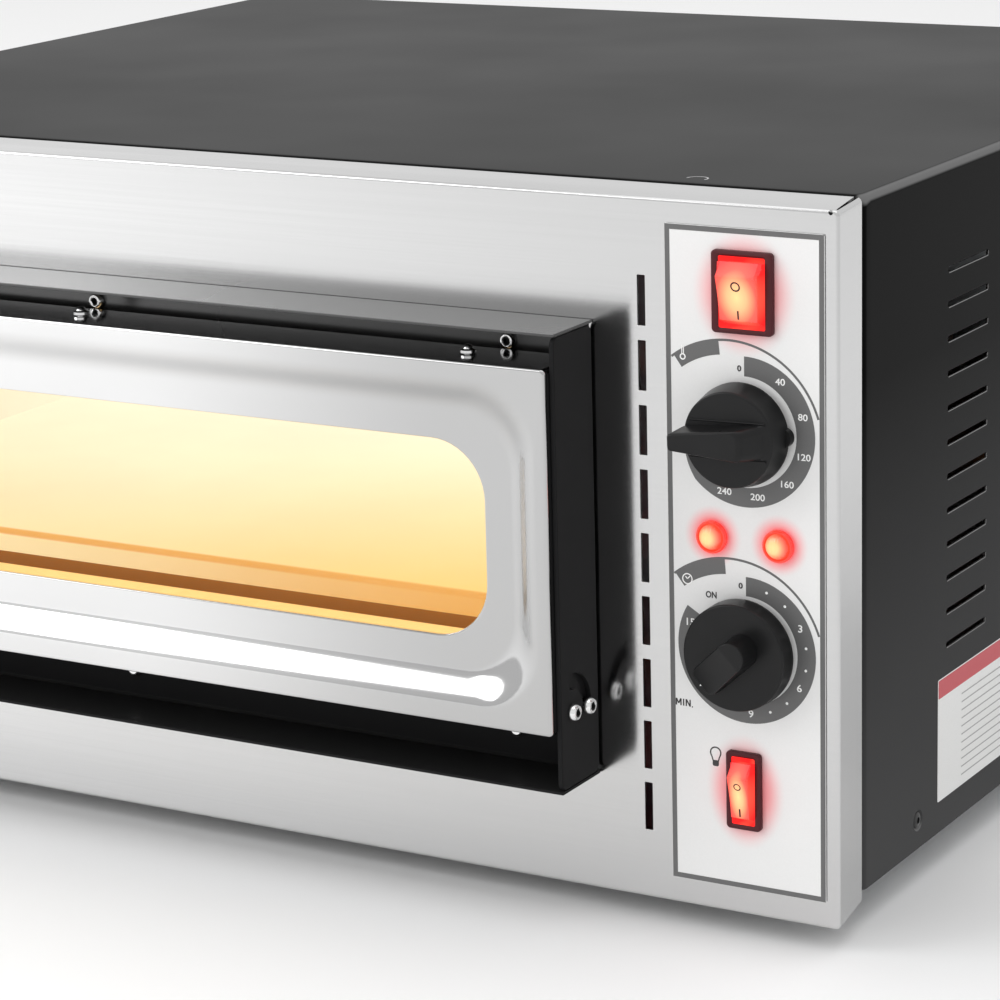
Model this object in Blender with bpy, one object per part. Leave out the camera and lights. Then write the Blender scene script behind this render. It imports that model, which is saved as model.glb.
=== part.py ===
"""Countertop electric pizza oven: one baking chamber behind a drop-down glazed door.

Frame: metres, +Z up, the door faces -Y, the controls are at +X. The origin is the centre of the
footprint, on the surface that the oven stands on.

Every size below is in millimetres. Places are measured the way a fitter would measure them:
LEFT of the oven's right side, BEHIND the steel front's face and BELOW the top of the oven.
The functions X, Y and Z turn those three distances into the frame.
"""
import math

import bmesh
import bpy
from mathutils import Matrix, Vector

# ---- overall ------------------------------------------------------------------------------
WIDTH = 575.0
FOOT_HEIGHT = 14.7          # from the table to the floor of the casing
PANEL_HEIGHT = 275.7        # the steel front, from its top edge to its bottom lip
LIP_CLEARANCE = 10.0        # from the bottom lip to the table
HEIGHT = PANEL_HEIGHT + LIP_CLEARANCE
DOOR_FACE = -33.5           # the door's front face, ahead of the steel front
BACK_FACE = 498.7           # outer face of the back panel
GLAND_END = 511.4           # tip of the cable gland
GAP = 0.3                   # between pieces that touch

# ---- how finely round shapes are stepped ----------------------------------------------------
CORNER_STEPS = 3
SLOT_STEPS = 1
HOLE_SIDES = 10
SCREW_SIDES = 12

# ---- sheet and casing ---------------------------------------------------------------------
SHEET = 1.0
RETURN_DEPTH = 29.0         # how far the steel front's edges are folded back
FLARE = 4.2                 # how far the steel front's face overhangs the casing at each side
COVER_FRONT = 30.6
COVER_BOTTOM = HEIGHT - FOOT_HEIGHT
BEND_RADIUS = 2.5
LOUVRES = {"count": 12, "first": 43.0, "pitch": 13.84, "front": 110.8, "back": 151.0, "tall": 2.2}
SLITS = {"count": 9, "first": 29.3, "pitch": 24.9, "tall": 19.3, "near": 75.0, "far": 78.4}
FEET = ((45.0, 65.0), (45.0, 450.0), (530.0, 65.0), (530.0, 450.0))

# ---- hood round the door ------------------------------------------------------------------
HOOD = {"right": 97.5, "left": 538.5, "top": 47.9, "bottom": 227.6, "front": -30.5}
HOOD_SHEET = 1.2
HOOD_SIDE = 2.0
FLANGE = 18.0               # how far the hood's rear flanges reach inwards
HOOD_SCREWS_TOP = (133.0, 326.5, 503.0)
HOOD_SCREWS_BOTTOM = (133.0, 317.0, 503.0)
HOOD_SCREW_TOP_Z = 58.6
HOOD_SCREW_BOTTOM_Z = 212.6

# ---- door leaf ----------------------------------------------------------------------------
LEAF = {"right": 100.0, "left": 536.0, "top": 61.0, "bottom": 204.0}
LEAF_BACK = -5.8
EMBOSS_DEPTH = 6.0          # the middle of the door's front is pressed in this far
EMBOSS_OUTER = (105.0, 531.0, 67.2, 196.4)
EMBOSS_INNER = (119.0, 517.0, 81.0, 183.4)
WINDOW = (130.7, 505.3, 93.2, 171.2)
PIVOT = (-22.2, 196.4)      # hinge axis: behind, below
GUIDE_RADIUS = 12.0         # from the hinge axis to the guide bolt
GUIDE_ANGLE = -3.8          # where the guide bolt sits when the door is shut, in degrees
DOOR_TRAVEL = 90.0
DOOR_SCREWS = (141.3, 322.5, 494.7)
DOOR_SCREW_ROW = -18.5

# ---- baking chamber -----------------------------------------------------------------------
MOUTH = (122.0, 514.0, 76.0, 174.0)
LINER = {"right": 110.0, "left": 526.0, "top": 66.0, "bottom": 206.0, "front": 1.5, "back": 440.0}
STONE = {"right": 112.0, "left": 524.0, "front": 14.0, "back": 424.0, "top": 166.6, "thick": 10.0}
ELEMENT_RADIUS = 3.3
ELEMENT_ROWS = (400.0, 330.0, 260.0, 190.0, 120.0, 50.0)
ELEMENT_TURNS = (140.0, 500.0)
ELEMENT_LEVELS = {"upper": 74.5, "lower": 192.0}
LEG_END = 78.0              # where the element's legs end, in the control bay
LAMP = (300.0, 112.0)       # behind, below: chamber lamp in the right-hand wall
PROBE = (150.0, 92.0)       # behind, below: where the thermostat's probe enters
PARTITION = 85.0
LAGGING_BACK = 475.0

# ---- controls -----------------------------------------------------------------------------
FASCIA = (1.3, 66.3, 8.9, 265.0)
FASCIA_THICK = 0.4
ROCKER_TILT = 12.0          # to either side of the middle
ROCKER_SECTION = (          # (behind its pivot, above its pivot) before it is tilted
    (-2.5, 11.9), (0.5, 11.6), (4.5, 7.0), (5.5, 0.0), (4.5, -7.0), (0.5, -11.6), (-2.5, -11.9), (-7.4, -7.2),
    (-7.0, 0.0), (-7.4, 7.2))
POWER = {"left": 33.7, "below": 32.5, "bezel": 25.0, "body": 22.0, "rocker": 18.0}
LIGHT = {"left": 34.8, "below": 225.0, "bezel": 14.5, "body": 11.5, "rocker": 8.8}
BEZEL_TALL = 31.0
SWITCH_TALL = 28.0
THERMOSTAT = (33.9, 85.2)
TIMER = (33.9, 169.5)
THERMOSTAT_POINTS = 270.0   # clockwise from straight up
TIMER_POINTS = 228.0
KNOB_SEAT = -3.0            # back of a knob, just clear of the fascia
THERMOSTAT_KNOB = {"base": 19.7, "rim": 18.2, "face": -15.0, "front": -24.5, "nose": 20.4, "tail": 15.5}
TIMER_KNOB = {"base": 21.0, "rim": 20.6, "face": -12.5, "front": -24.0, "nose": 17.0, "tail": 11.5,
              "half": 6.2, "tip": -14.5}
KNOB_BORE = 3.3
BORE_DEPTH = 12.0
INDICATORS = {"left": (47.5, 126.6), "right": (20.0, 127.2)}
GLAND = (60.0, 235.0)


def X(left_of_right):
    """Distance left of the oven's right side, in millimetres, to the frame's X."""
    return (WIDTH / 2 - left_of_right) / 1000


def Y(behind_front):
    """Distance behind the steel front, in millimetres, to the frame's Y."""
    return (behind_front - (DOOR_FACE + GLAND_END) / 2) / 1000


def Z(below_top):
    """Distance below the top, in millimetres, to the frame's Z."""
    return (HEIGHT - below_top) / 1000


# ---- materials ----------------------------------------------------------------------------
def material(name, colour, roughness, metallic=0.0):
    """A Principled material, made once for each name."""
    found = bpy.data.materials.get(name)
    if found:
        return found
    made = bpy.data.materials.new(name)
    made.use_nodes = True
    shader = made.node_tree.nodes["Principled BSDF"]
    shader.inputs["Base Color"].default_value = (*colour, 1.0)
    shader.inputs["Roughness"].default_value = roughness
    shader.inputs["Metallic"].default_value = metallic
    made.diffuse_color = (*colour, 1.0)
    return made


FINISHES = {
    "brushed_steel": ((0.72, 0.72, 0.72), 0.32, 1.0),
    "polished_steel": ((0.84, 0.84, 0.84), 0.10, 1.0),
    "black_paint": ((0.015, 0.015, 0.016), 0.35, 0.0),
    "aluminised_steel": ((0.55, 0.54, 0.52), 0.45, 1.0),
    "baking_stone": ((0.78, 0.70, 0.56), 0.90, 0.0),
    "heater_steel": ((0.22, 0.21, 0.20), 0.50, 1.0),
    "mineral_wool": ((0.80, 0.77, 0.66), 0.95, 0.0),
    "glass": ((0.93, 0.95, 0.95), 0.05, 0.0),
    "ceramic": ((0.90, 0.88, 0.83), 0.50, 0.0),
    "black_plastic": ((0.020, 0.020, 0.021), 0.45, 0.0),
    "red_lens": ((0.80, 0.05, 0.03), 0.25, 0.0),
    "fascia_film": ((0.82, 0.82, 0.81), 0.40, 0.0),
    "screw_steel": ((0.62, 0.62, 0.62), 0.25, 1.0),
    "galvanised_steel": ((0.50, 0.52, 0.54), 0.50, 1.0),
    "copper": ((0.72, 0.40, 0.25), 0.35, 1.0),
    "rubber": ((0.03, 0.03, 0.03), 0.80, 0.0),
    "moulded_grey": ((0.60, 0.59, 0.55), 0.55, 0.0),
}


# ---- shapes -------------------------------------------------------------------------------
def make_object(name, bm, finish):
    """A named object from a bmesh, with its normals facing out and its own finish."""
    bmesh.ops.recalc_face_normals(bm, faces=bm.faces)
    mesh = bpy.data.meshes.new(name)
    bm.to_mesh(mesh)
    bm.free()
    made = bpy.data.objects.new(name, mesh)
    bpy.context.scene.collection.objects.link(made)
    if finish:
        mesh.materials.append(material(finish, *FINISHES[finish]))
    return made


def smooth(piece, angle=35.0):
    """Shade a round piece smooth, with its corners kept sharp."""
    piece.data.shade_smooth()
    piece.data.set_sharp_from_angle(angle=math.radians(angle))
    return piece


def place(axis, point, along):
    """A point of an outline, at a distance along the axis that the outline is pushed along."""
    first, second = point
    if axis == "X":
        return Vector((X(along), Y(first), Z(second)))
    if axis == "Y":
        return Vector((X(first), Y(along), Z(second)))
    return Vector((X(first), Y(second), Z(along)))


def skin_loops(name, finish, axis, loops, closed=False):
    """One solid through a row of outlines with equally many points; open ends are capped."""
    bm = bmesh.new()
    rings = [[bm.verts.new(place(axis, point, along)) for point in outline] for outline, along in loops]
    pairs = list(zip(rings, rings[1:]))
    if closed:
        pairs.append((rings[-1], rings[0]))
    for near, far in pairs:
        for i in range(len(near)):
            j = (i + 1) % len(near)
            bm.faces.new((near[i], near[j], far[j], far[i]))
    if not closed:
        bm.faces.new(rings[0])
        bm.faces.new(rings[-1])
    return make_object(name, bm, finish)


def prism(name, finish, axis, outline, start, end):
    """An outline pushed from start to end along an axis."""
    return skin_loops(name, finish, axis, [(outline, start), (outline, end)])


def rectangle(low_u, high_u, low_v, high_v, radius=0.0, steps=CORNER_STEPS):
    """A rectangle's outline, with round corners where a radius is given."""
    if radius <= 0:
        return [(low_u, low_v), (high_u, low_v), (high_u, high_v), (low_u, high_v)]
    centres = (
        (high_u - radius, high_v - radius, 0), (low_u + radius, high_v - radius, 90),
        (low_u + radius, low_v + radius, 180), (high_u - radius, low_v + radius, 270))
    points = []
    for centre_u, centre_v, start in centres:
        for step in range(steps + 1):
            angle = math.radians(start + 90 * step / steps)
            points.append((centre_u + radius * math.cos(angle), centre_v + radius * math.sin(angle)))
    return points


def grow(box, amount):
    """A (low, high, low, high) rectangle made larger on every side."""
    return (box[0] - amount, box[1] + amount, box[2] - amount, box[3] + amount)


def block(name, finish, left, behind, below, radius=0.0, axis="Z"):
    """A box between two distances each way; its edges along one axis can be round."""
    spans = {"X": (behind, below, left), "Y": (left, below, behind), "Z": (left, behind, below)}
    first, second, along = spans[axis]
    outline = rectangle(*first, *second, radius, 3)
    return prism(name, finish, axis, outline, *along)


def circle(centre, radius, segments, turn=0.0):
    """A circle's outline, its first corner turned by an angle in degrees."""
    angles = [math.radians(turn) + 2 * math.pi * i / segments for i in range(segments)]
    return [(centre[0] + radius * math.cos(a), centre[1] + radius * math.sin(a)) for a in angles]


def turned(name, finish, axis, centre, profile, segments=24, closed=False):
    """A turned piece: its profile is a row of (distance along the axis, radius)."""
    loops = [(circle(centre, radius, segments), along) for along, radius in profile]
    return smooth(skin_loops(name, finish, axis, loops, closed))


def combine(piece, others, operation):
    """Add or remove other solids, which are used up."""
    for other in others:
        modifier = piece.modifiers.new(operation.lower(), "BOOLEAN")
        modifier.operation = operation
        modifier.solver = "EXACT"
        modifier.object = other
    bpy.context.view_layer.update()
    result = bpy.data.meshes.new_from_object(piece.evaluated_get(bpy.context.evaluated_depsgraph_get()))
    old_mesh = piece.data
    piece.modifiers.clear()
    piece.data = result
    result.name = piece.name
    bpy.data.meshes.remove(old_mesh)
    for other in others:
        bpy.data.objects.remove(other)
    return piece


def cutter(shape, *details):
    """A solid used only to cut a hole."""
    return shape("cutter", None, *details)


def one_cutter(cutters):
    """Cutters that stand clear of each other, joined so that they cut in one step."""
    bm = bmesh.new()
    for piece in cutters:
        bm.from_mesh(piece.data)
        bpy.data.objects.remove(piece)
    return make_object("cutter", bm, None)


def cut(piece, cutters):
    """Remove cutters that stand clear of each other."""
    return combine(piece, [one_cutter(cutters)], "DIFFERENCE")


def hole(axis, centre, radius, start, end, segments=HOLE_SIDES):
    """A round cutter."""
    return cutter(prism, axis, circle(centre, radius, segments), start, end)


def slot_hole(axis, low_u, high_u, low_v, high_v, start, end):
    """A long cutter with round ends."""
    radius = 0.49 * min(high_u - low_u, high_v - low_v)
    return cutter(prism, axis, rectangle(low_u, high_u, low_v, high_v, radius, SLOT_STEPS), start, end)


def set_origin(piece, point):
    """Put a piece's origin on its joint's axis without moving its shape."""
    piece.data.transform(Matrix.Translation(-point))
    piece.location = point


# ---- steel front, casing and feet -----------------------------------------------------------
def front_outline(behind):
    """Edges of the steel front at a depth: its sides close in towards the casing."""
    overhang = FLARE * (1 - behind / RETURN_DEPTH)
    return (-overhang, WIDTH + overhang, 0, PANEL_HEIGHT)


def front_panel():
    """Brushed steel front: a tray folded back along all four edges, with every cut-out."""
    panel = skin_loops("front_panel", "brushed_steel", "Y", [
        (rectangle(*front_outline(0), 1.5), 0), (rectangle(*front_outline(RETURN_DEPTH), 1.5), RETURN_DEPTH)])
    hollow = [(rectangle(*grow(front_outline(behind), -SHEET), 0.6, 2), behind)
              for behind in (SHEET, RETURN_DEPTH + 5)]
    combine(panel, [cutter(skin_loops, "Y", hollow)], "DIFFERENCE")
    through = (-3, SHEET + 3)
    cuts = [cutter(prism, "Y", rectangle(*MOUTH, 3), *through)]
    for i in range(SLITS["count"]):
        top = SLITS["first"] + i * SLITS["pitch"]
        cuts.append(slot_hole("Y", SLITS["near"], SLITS["far"], top, top + SLITS["tall"], *through))
    for left in HOOD_SCREWS_TOP:
        cuts.append(hole("Y", (left, HOOD_SCREW_TOP_Z), 2.2, *through))
    for left in HOOD_SCREWS_BOTTOM:
        cuts.append(hole("Y", (left, HOOD_SCREW_BOTTOM_Z), 2.2, *through))
    return cut(panel, cuts + control_cutouts(through))


def control_cutouts(through):
    """Cutters for the switches, spindles and indicator lamps."""
    cuts = [hole("Y", THERMOSTAT, 5.2, *through), hole("Y", TIMER, 5.2, *through)]
    for centre in INDICATORS.values():
        cuts.append(hole("Y", centre, 4.6, *through))
    for switch in (POWER, LIGHT):
        half_width = switch["body"] / 2 + GAP
        half_height = SWITCH_TALL / 2 + GAP
        opening = rectangle(switch["left"] - half_width, switch["left"] + half_width,
                            switch["below"] - half_height, switch["below"] + half_height)
        cuts.append(cutter(prism, "Y", opening, *through))
    return cuts


def u_outline(width_low, width_high, top, bottom, thick, radius):
    """The section of a sheet folded down over both sides of the oven."""
    outer = [(width_low, bottom)]
    inner = [(width_low + thick, bottom)]
    for centre_u, start in ((width_low + radius, 180), (width_high - radius, 270)):
        for step in range(4):
            angle = math.radians(start + 90 * step / 3)
            along = (math.cos(angle), math.sin(angle))
            outer.append((centre_u + radius * along[0], top + radius + radius * along[1]))
            inner.append((centre_u + (radius - thick) * along[0], top + radius + (radius - thick) * along[1]))
    outer.append((width_high, bottom))
    inner.append((width_high - thick, bottom))
    return outer + inner[::-1]


def outer_cover():
    """Black casing: one sheet over the top and both sides, with a row of louvres in each side."""
    section = u_outline(GAP, WIDTH - GAP, 0, COVER_BOTTOM, SHEET, BEND_RADIUS)
    cover = prism("outer_cover", "black_paint", "Y", section, COVER_FRONT, BACK_FACE)
    cuts = []
    for i in range(LOUVRES["count"]):
        bottom = LOUVRES["first"] + i * LOUVRES["pitch"]
        span = (LOUVRES["front"], LOUVRES["back"], bottom - LOUVRES["tall"], bottom)
        for side in ((-3, SHEET + 3), (WIDTH - SHEET - 3, WIDTH + 3)):
            cuts.append(slot_hole("X", *span, *side))
    return smooth(cut(cover, cuts), 20)


def bottom_plate():
    """Galvanised floor of the casing, folded up along both sides."""
    low, high = GAP + SHEET + GAP, WIDTH - SHEET - 2 * GAP
    floor = COVER_BOTTOM - SHEET
    section = [(low, 250), (low, COVER_BOTTOM), (high, COVER_BOTTOM), (high, 250),
               (high - SHEET, 250), (high - SHEET, floor), (low + SHEET, floor), (low + SHEET, 250)]
    plate = prism("bottom_plate", "galvanised_steel", "Y", section, SHEET + GAP, BACK_FACE - SHEET - GAP)
    holes = [hole("Z", foot, 2.2, 265, 275) for foot in FEET]
    for row in range(6):
        behind = 120 + row * 30
        holes.append(slot_hole("Z", 15, 70, behind, behind + 5, 265, 275))
    return cut(plate, holes)


def back_panel():
    """Flat rear sheet with a vent field and the cable hole."""
    low, high = 2 * GAP + SHEET, WIDTH - SHEET - 2 * GAP
    panel = block("back_panel", "black_paint", (low, high), (BACK_FACE - SHEET, BACK_FACE), (1.6, 269.6))
    through = (BACK_FACE - 5, BACK_FACE + 5)
    cuts = [hole("Y", GLAND, 6.3, *through)]
    for row in range(8):
        below = 40 + row * 12
        cuts.append(slot_hole("Y", 20, 70, below, below + 4, *through))
    return cut(panel, cuts)


def foot(name, left, behind):
    """Round rubber foot with a stem into the floor of the casing."""
    top = COVER_BOTTOM + GAP
    profile = [(HEIGHT, 10.5), (HEIGHT - 1.2, 12.0), (top, 15.0), (top, 1.9), (top - 5, 1.9)]
    return turned(name, "rubber", "Z", (left, behind), profile, 14)


# ---- hood -----------------------------------------------------------------------------------
def hood_plate(name, level, flange_end, screws, screw_level):
    """The hood's top or bottom: a plate with a rear flange that is screwed to the steel front."""
    inward = 1 if flange_end > level else -1
    flat = level + inward * HOOD_SHEET
    front, flange_front = HOOD["front"], -HOOD_SHEET - GAP
    section = [(front, level), (-GAP, level), (-GAP, flange_end), (flange_front, flange_end),
               (flange_front, flat), (front, flat)]
    plate = prism(name, "black_paint", "X", section, HOOD["right"], HOOD["left"])
    trims = []
    for low, high in ((HOOD["right"] - 2, HOOD["right"] + HOOD_SIDE + GAP),
                      (HOOD["left"] - HOOD_SIDE - GAP, HOOD["left"] + 2)):
        below = sorted((flat, flange_end + inward * 5))
        trims.append(cutter(block, (low, high), (flange_front - 5, 5), below))
    for left in screws:
        trims.append(hole("Y", (left, screw_level), 2.2, -6, 3))
    return cut(plate, trims)


def hood_side(name, outer, inward):
    """The hood's side: it carries the hinge bolt and the curved slot of the guide bolt."""
    inner = outer + inward * HOOD_SIDE
    top = HOOD["top"] + HOOD_SHEET + GAP
    bottom = HOOD["bottom"] - HOOD_SHEET - GAP
    outline = rectangle(HOOD["front"], -GAP, top, bottom, 3.0)
    side = prism(name, "black_paint", "X", outline, outer, inner)
    near, far = sorted((inner - inward * 0.5, inner + inward * 14))
    flange = cutter(block, (near, far), (-HOOD_SHEET - GAP, -GAP),
                    (HOOD["top"] + FLANGE + 10, HOOD["bottom"] - FLANGE - 34))
    combine(side, [flange], "UNION")
    through = sorted((outer - inward * 5, inner + inward * 5))
    combine(side, [cutter(prism, "X", guide_slot(), *through)], "DIFFERENCE")
    return cut(side, [hole("X", PIVOT, 2.8, *through)])


def around_pivot(radius, angle):
    """A point on a circle about the hinge; 0 degrees is straight back and 90 straight up."""
    turn = math.radians(angle)
    return (PIVOT[0] + radius * math.cos(turn), PIVOT[1] - radius * math.sin(turn))


def guide_slot(half_width=3.2, steps=8):
    """Outline of the curved slot that the guide bolt travels in."""
    start, end = GUIDE_ANGLE, GUIDE_ANGLE + DOOR_TRAVEL
    sweep = [start + (end - start) * i / steps for i in range(steps + 1)]
    outer = [around_pivot(GUIDE_RADIUS + half_width, angle) for angle in sweep]
    inner = [around_pivot(GUIDE_RADIUS - half_width, angle) for angle in reversed(sweep)]
    tips = []
    for angle, lean in ((end, 1), (start, -1)):
        centre = around_pivot(GUIDE_RADIUS, angle)
        first = angle if lean > 0 else angle + 180
        turns = [math.radians(first + 45 * k) for k in range(1, 4)]
        tips.append([(centre[0] + half_width * math.cos(turn), centre[1] - half_width * math.sin(turn))
                     for turn in turns])
    return outer + tips[0] + inner + tips[1]


def socket_screw(name, axis, centre, seat, out, head, shank):
    """A button-head screw with a hex socket; out is the way its head points, +1 or -1."""
    radius, tall = head
    shank_radius, length = shank
    profile = [(seat + out * tall, 0.55 * radius), (seat + out * 0.6 * tall, 0.93 * radius),
               (seat, radius), (seat, shank_radius), (seat - out * length, shank_radius)]
    screw = turned(name, "screw_steel", axis, centre, profile, SCREW_SIDES)
    ends = sorted((seat + out * 0.3 * tall, seat + out * (tall + 2)))
    return combine(screw, [cutter(prism, axis, circle(centre, 0.36 * radius, 6), *ends)], "DIFFERENCE")


# ---- door -----------------------------------------------------------------------------------
def leaf_box():
    return (LEAF["right"], LEAF["left"], LEAF["top"], LEAF["bottom"])


def hinge_holes(radius):
    """Cutters through both ends of the leaf for the hinge and guide bolts."""
    cuts = []
    for end in ((LEAF["right"] - 3, LEAF["right"] + 6), (LEAF["left"] - 6, LEAF["left"] + 3)):
        cuts.append(hole("X", PIVOT, radius, *end))
        cuts.append(hole("X", around_pivot(GUIDE_RADIUS, GUIDE_ANGLE), radius, *end))
    return cuts


def door_skin():
    """Polished front of the door: folded back all round and pressed in towards the window."""
    box = leaf_box()
    recess = DOOR_FACE + EMBOSS_DEPTH
    hem = LEAF_BACK - 0.7
    path = [
        (rectangle(*box, 1.8), hem),
        (rectangle(*box, 1.8), DOOR_FACE + 0.8),
        (rectangle(*grow(box, -0.3), 1.6), DOOR_FACE + 0.25),
        (rectangle(*grow(box, -0.9), 1.4), DOOR_FACE),
        (rectangle(*EMBOSS_OUTER, 25), DOOR_FACE),
        (rectangle(*grow(EMBOSS_OUTER, -2.5), 24), DOOR_FACE + 1.0),
        (rectangle(*grow(EMBOSS_INNER, 3.0), 25), recess - 1.2),
        (rectangle(*EMBOSS_INNER, 24), recess),
        (rectangle(*WINDOW, 23), recess),
        (rectangle(*WINDOW, 23), recess + SHEET),
        (rectangle(*EMBOSS_INNER, 24), recess + SHEET),
        (rectangle(*grow(EMBOSS_INNER, 3.0), 25), recess - 1.2 + SHEET),
        (rectangle(*grow(EMBOSS_OUTER, -2.5), 24), DOOR_FACE + 1.0 + SHEET),
        (rectangle(*EMBOSS_OUTER, 25), DOOR_FACE + SHEET),
        (rectangle(*grow(box, -SHEET), 1.2), DOOR_FACE + SHEET + 0.4),
        (rectangle(*grow(box, -SHEET), 1.2), hem),
    ]
    skin = skin_loops("door_skin", "polished_steel", "Y", path, closed=True)
    cuts = hinge_holes(2.8)
    for left in DOOR_SCREWS:
        cuts.append(hole("Z", (left, DOOR_SCREW_ROW), 1.9, LEAF["top"] - 3, LEAF["top"] + 4))
    return smooth(cut(skin, cuts), 25)


def door_pan():
    """Black inner pan that closes the back of the door."""
    box = grow(leaf_box(), -SHEET - GAP)
    opening = grow(WINDOW, 4)
    lip = DOOR_FACE + 9
    path = [
        (rectangle(*box, 1.5), lip),
        (rectangle(*box, 1.5), LEAF_BACK),
        (rectangle(*opening, 20), LEAF_BACK),
        (rectangle(*opening, 20), LEAF_BACK - SHEET),
        (rectangle(*grow(box, -SHEET), 1.0), LEAF_BACK - SHEET),
        (rectangle(*grow(box, -SHEET), 1.0), lip),
    ]
    pan = skin_loops("door_pan", "black_paint", "Y", path, closed=True)
    cuts = hinge_holes(2.8)
    for left in DOOR_SCREWS:
        cuts.append(hole("Z", (left, DOOR_SCREW_ROW), 1.9, LEAF["top"] - 3, LEAF["top"] + 6))
    return smooth(cut(pan, cuts), 25)


def door_glass():
    """Toughened pane behind the door's window."""
    front = DOOR_FACE + EMBOSS_DEPTH + SHEET + GAP
    return prism("door_glass", "glass", "Y", rectangle(*grow(WINDOW, 7), 10), front, front + 4)


def glass_retainer():
    """Frame that clamps the pane to the back of the door's skin."""
    front = DOOR_FACE + EMBOSS_DEPTH + SHEET + 2 * GAP + 4
    outer = rectangle(*grow(WINDOW, 10), 12)
    inner = rectangle(*grow(WINDOW, 1), 20)
    path = [(outer, front), (outer, front + SHEET), (inner, front + SHEET), (inner, front)]
    return skin_loops("glass_retainer", "galvanised_steel", "Y", path, closed=True)


def door_screw(name, left):
    """Domed screw in the door's top edge."""
    seat = LEAF["top"] - GAP
    profile = [(seat - 3.3, 1.2), (seat - 1.7, 3.0), (seat, 3.3), (seat, 1.6), (seat + 5.5, 1.6)]
    return turned(name, "screw_steel", "Z", (left, DOOR_SCREW_ROW), profile, SCREW_SIDES)


def hinge_bolts(side, outer, out):
    """The hinge bolt and the guide bolt at one end of the door."""
    seat = outer + out * GAP
    for name, centre in (("hinge_bolt", PIVOT), ("guide_bolt", around_pivot(GUIDE_RADIUS, GUIDE_ANGLE))):
        socket_screw(f"{name}_{side}", "X", centre, seat, out, (3.8, 2.6), (2.5, 8.0))


# ---- chamber --------------------------------------------------------------------------------
def wall_passages(start, end):
    """Cutters for what passes from the control bay into the chamber's right-hand wall."""
    cuts = [hole("X", LAMP, 14.8, start, end, 14), hole("X", PROBE, 3.0, start, end)]
    for level in ELEMENT_LEVELS.values():
        for row in (ELEMENT_ROWS[0], ELEMENT_ROWS[-1]):
            cuts.append(hole("X", (row, level), ELEMENT_RADIUS + 1.2, start, end))
    return cuts


def chamber_liner():
    """Aluminised box that the pizza bakes in, open at the front."""
    liner = block("chamber_liner", "aluminised_steel", (LINER["right"], LINER["left"]),
                  (LINER["front"], LINER["back"]), (LINER["top"], LINER["bottom"]))
    inside = (LINER["right"] + SHEET, LINER["left"] - SHEET, LINER["top"] + SHEET, LINER["bottom"] - SHEET)
    combine(liner, [cutter(prism, "Y", rectangle(*inside), LINER["front"] - 5, LINER["back"] - SHEET)],
            "DIFFERENCE")
    return cut(liner, wall_passages(LINER["right"] - 3, LINER["right"] + SHEET + 3))


def stone_slab():
    """Fired stone that the pizza lies on, with worn edges."""
    top, bottom = STONE["top"], STONE["top"] + STONE["thick"]
    edge = 1.6
    plan = (STONE["right"], STONE["left"], STONE["front"], STONE["back"])
    loops = [(rectangle(*grow(plan, -edge), 3), top), (rectangle(*plan, 4), top + edge),
             (rectangle(*plan, 4), bottom - edge), (rectangle(*grow(plan, -edge), 3), bottom)]
    return skin_loops("stone_slab", "baking_stone", "Z", loops)


def stone_rail(name, wall, inward):
    """Angle on a side wall that carries the stone."""
    level = STONE["top"] + STONE["thick"] + GAP
    foot_end = wall + inward * 16
    near = wall + inward * GAP
    section = [(near, level), (foot_end, level), (foot_end, level + 1.5),
               (near + inward * 1.5, level + 1.5), (near + inward * 1.5, level + 7), (near, level + 7)]
    return prism(name, "aluminised_steel", "Y", section, STONE["front"], STONE["back"])


def heating_element(name, level):
    """Sheathed tube that snakes across the chamber; both legs leave through the right-hand wall."""
    near, far = ELEMENT_TURNS
    bend = (ELEMENT_ROWS[0] - ELEMENT_ROWS[1]) / 2
    route = [(LEG_END, ELEMENT_ROWS[0])]
    for i, row in enumerate(ELEMENT_ROWS[:-1]):
        turn_at, lean = (far - bend, 1) if i % 2 == 0 else (near + bend, -1)
        for step in range(7):
            angle = math.radians(180 * step / 6)
            route.append((turn_at + lean * bend * math.sin(angle), row - bend + bend * math.cos(angle)))
    route.append((LEG_END, ELEMENT_ROWS[-1]))
    points = [(left, behind, level) for left, behind in route]
    return tube(name, "heater_steel", points, ELEMENT_RADIUS)


def tube(name, finish, points, radius):
    """A solid tube along a row of points, made as a bevelled curve and kept as a mesh."""
    curve = bpy.data.curves.new(name, "CURVE")
    curve.dimensions = "3D"
    curve.bevel_depth = radius / 1000
    curve.bevel_resolution = 1
    curve.use_fill_caps = True
    spline = curve.splines.new("POLY")
    spline.points.add(len(points) - 1)
    for slot, (left, behind, below) in zip(spline.points, points):
        slot.co = (X(left), Y(behind), Z(below), 1.0)
    guide = bpy.data.objects.new(name + "_path", curve)
    bpy.context.scene.collection.objects.link(guide)
    bpy.context.view_layer.update()
    mesh = bpy.data.meshes.new_from_object(guide.evaluated_get(bpy.context.evaluated_depsgraph_get()))
    bpy.data.objects.remove(guide)
    bm = bmesh.new()
    bm.from_mesh(mesh)
    bpy.data.meshes.remove(mesh)
    bmesh.ops.remove_doubles(bm, verts=bm.verts, dist=0.00001)
    return smooth(make_object(name, bm, finish), 50)


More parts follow.
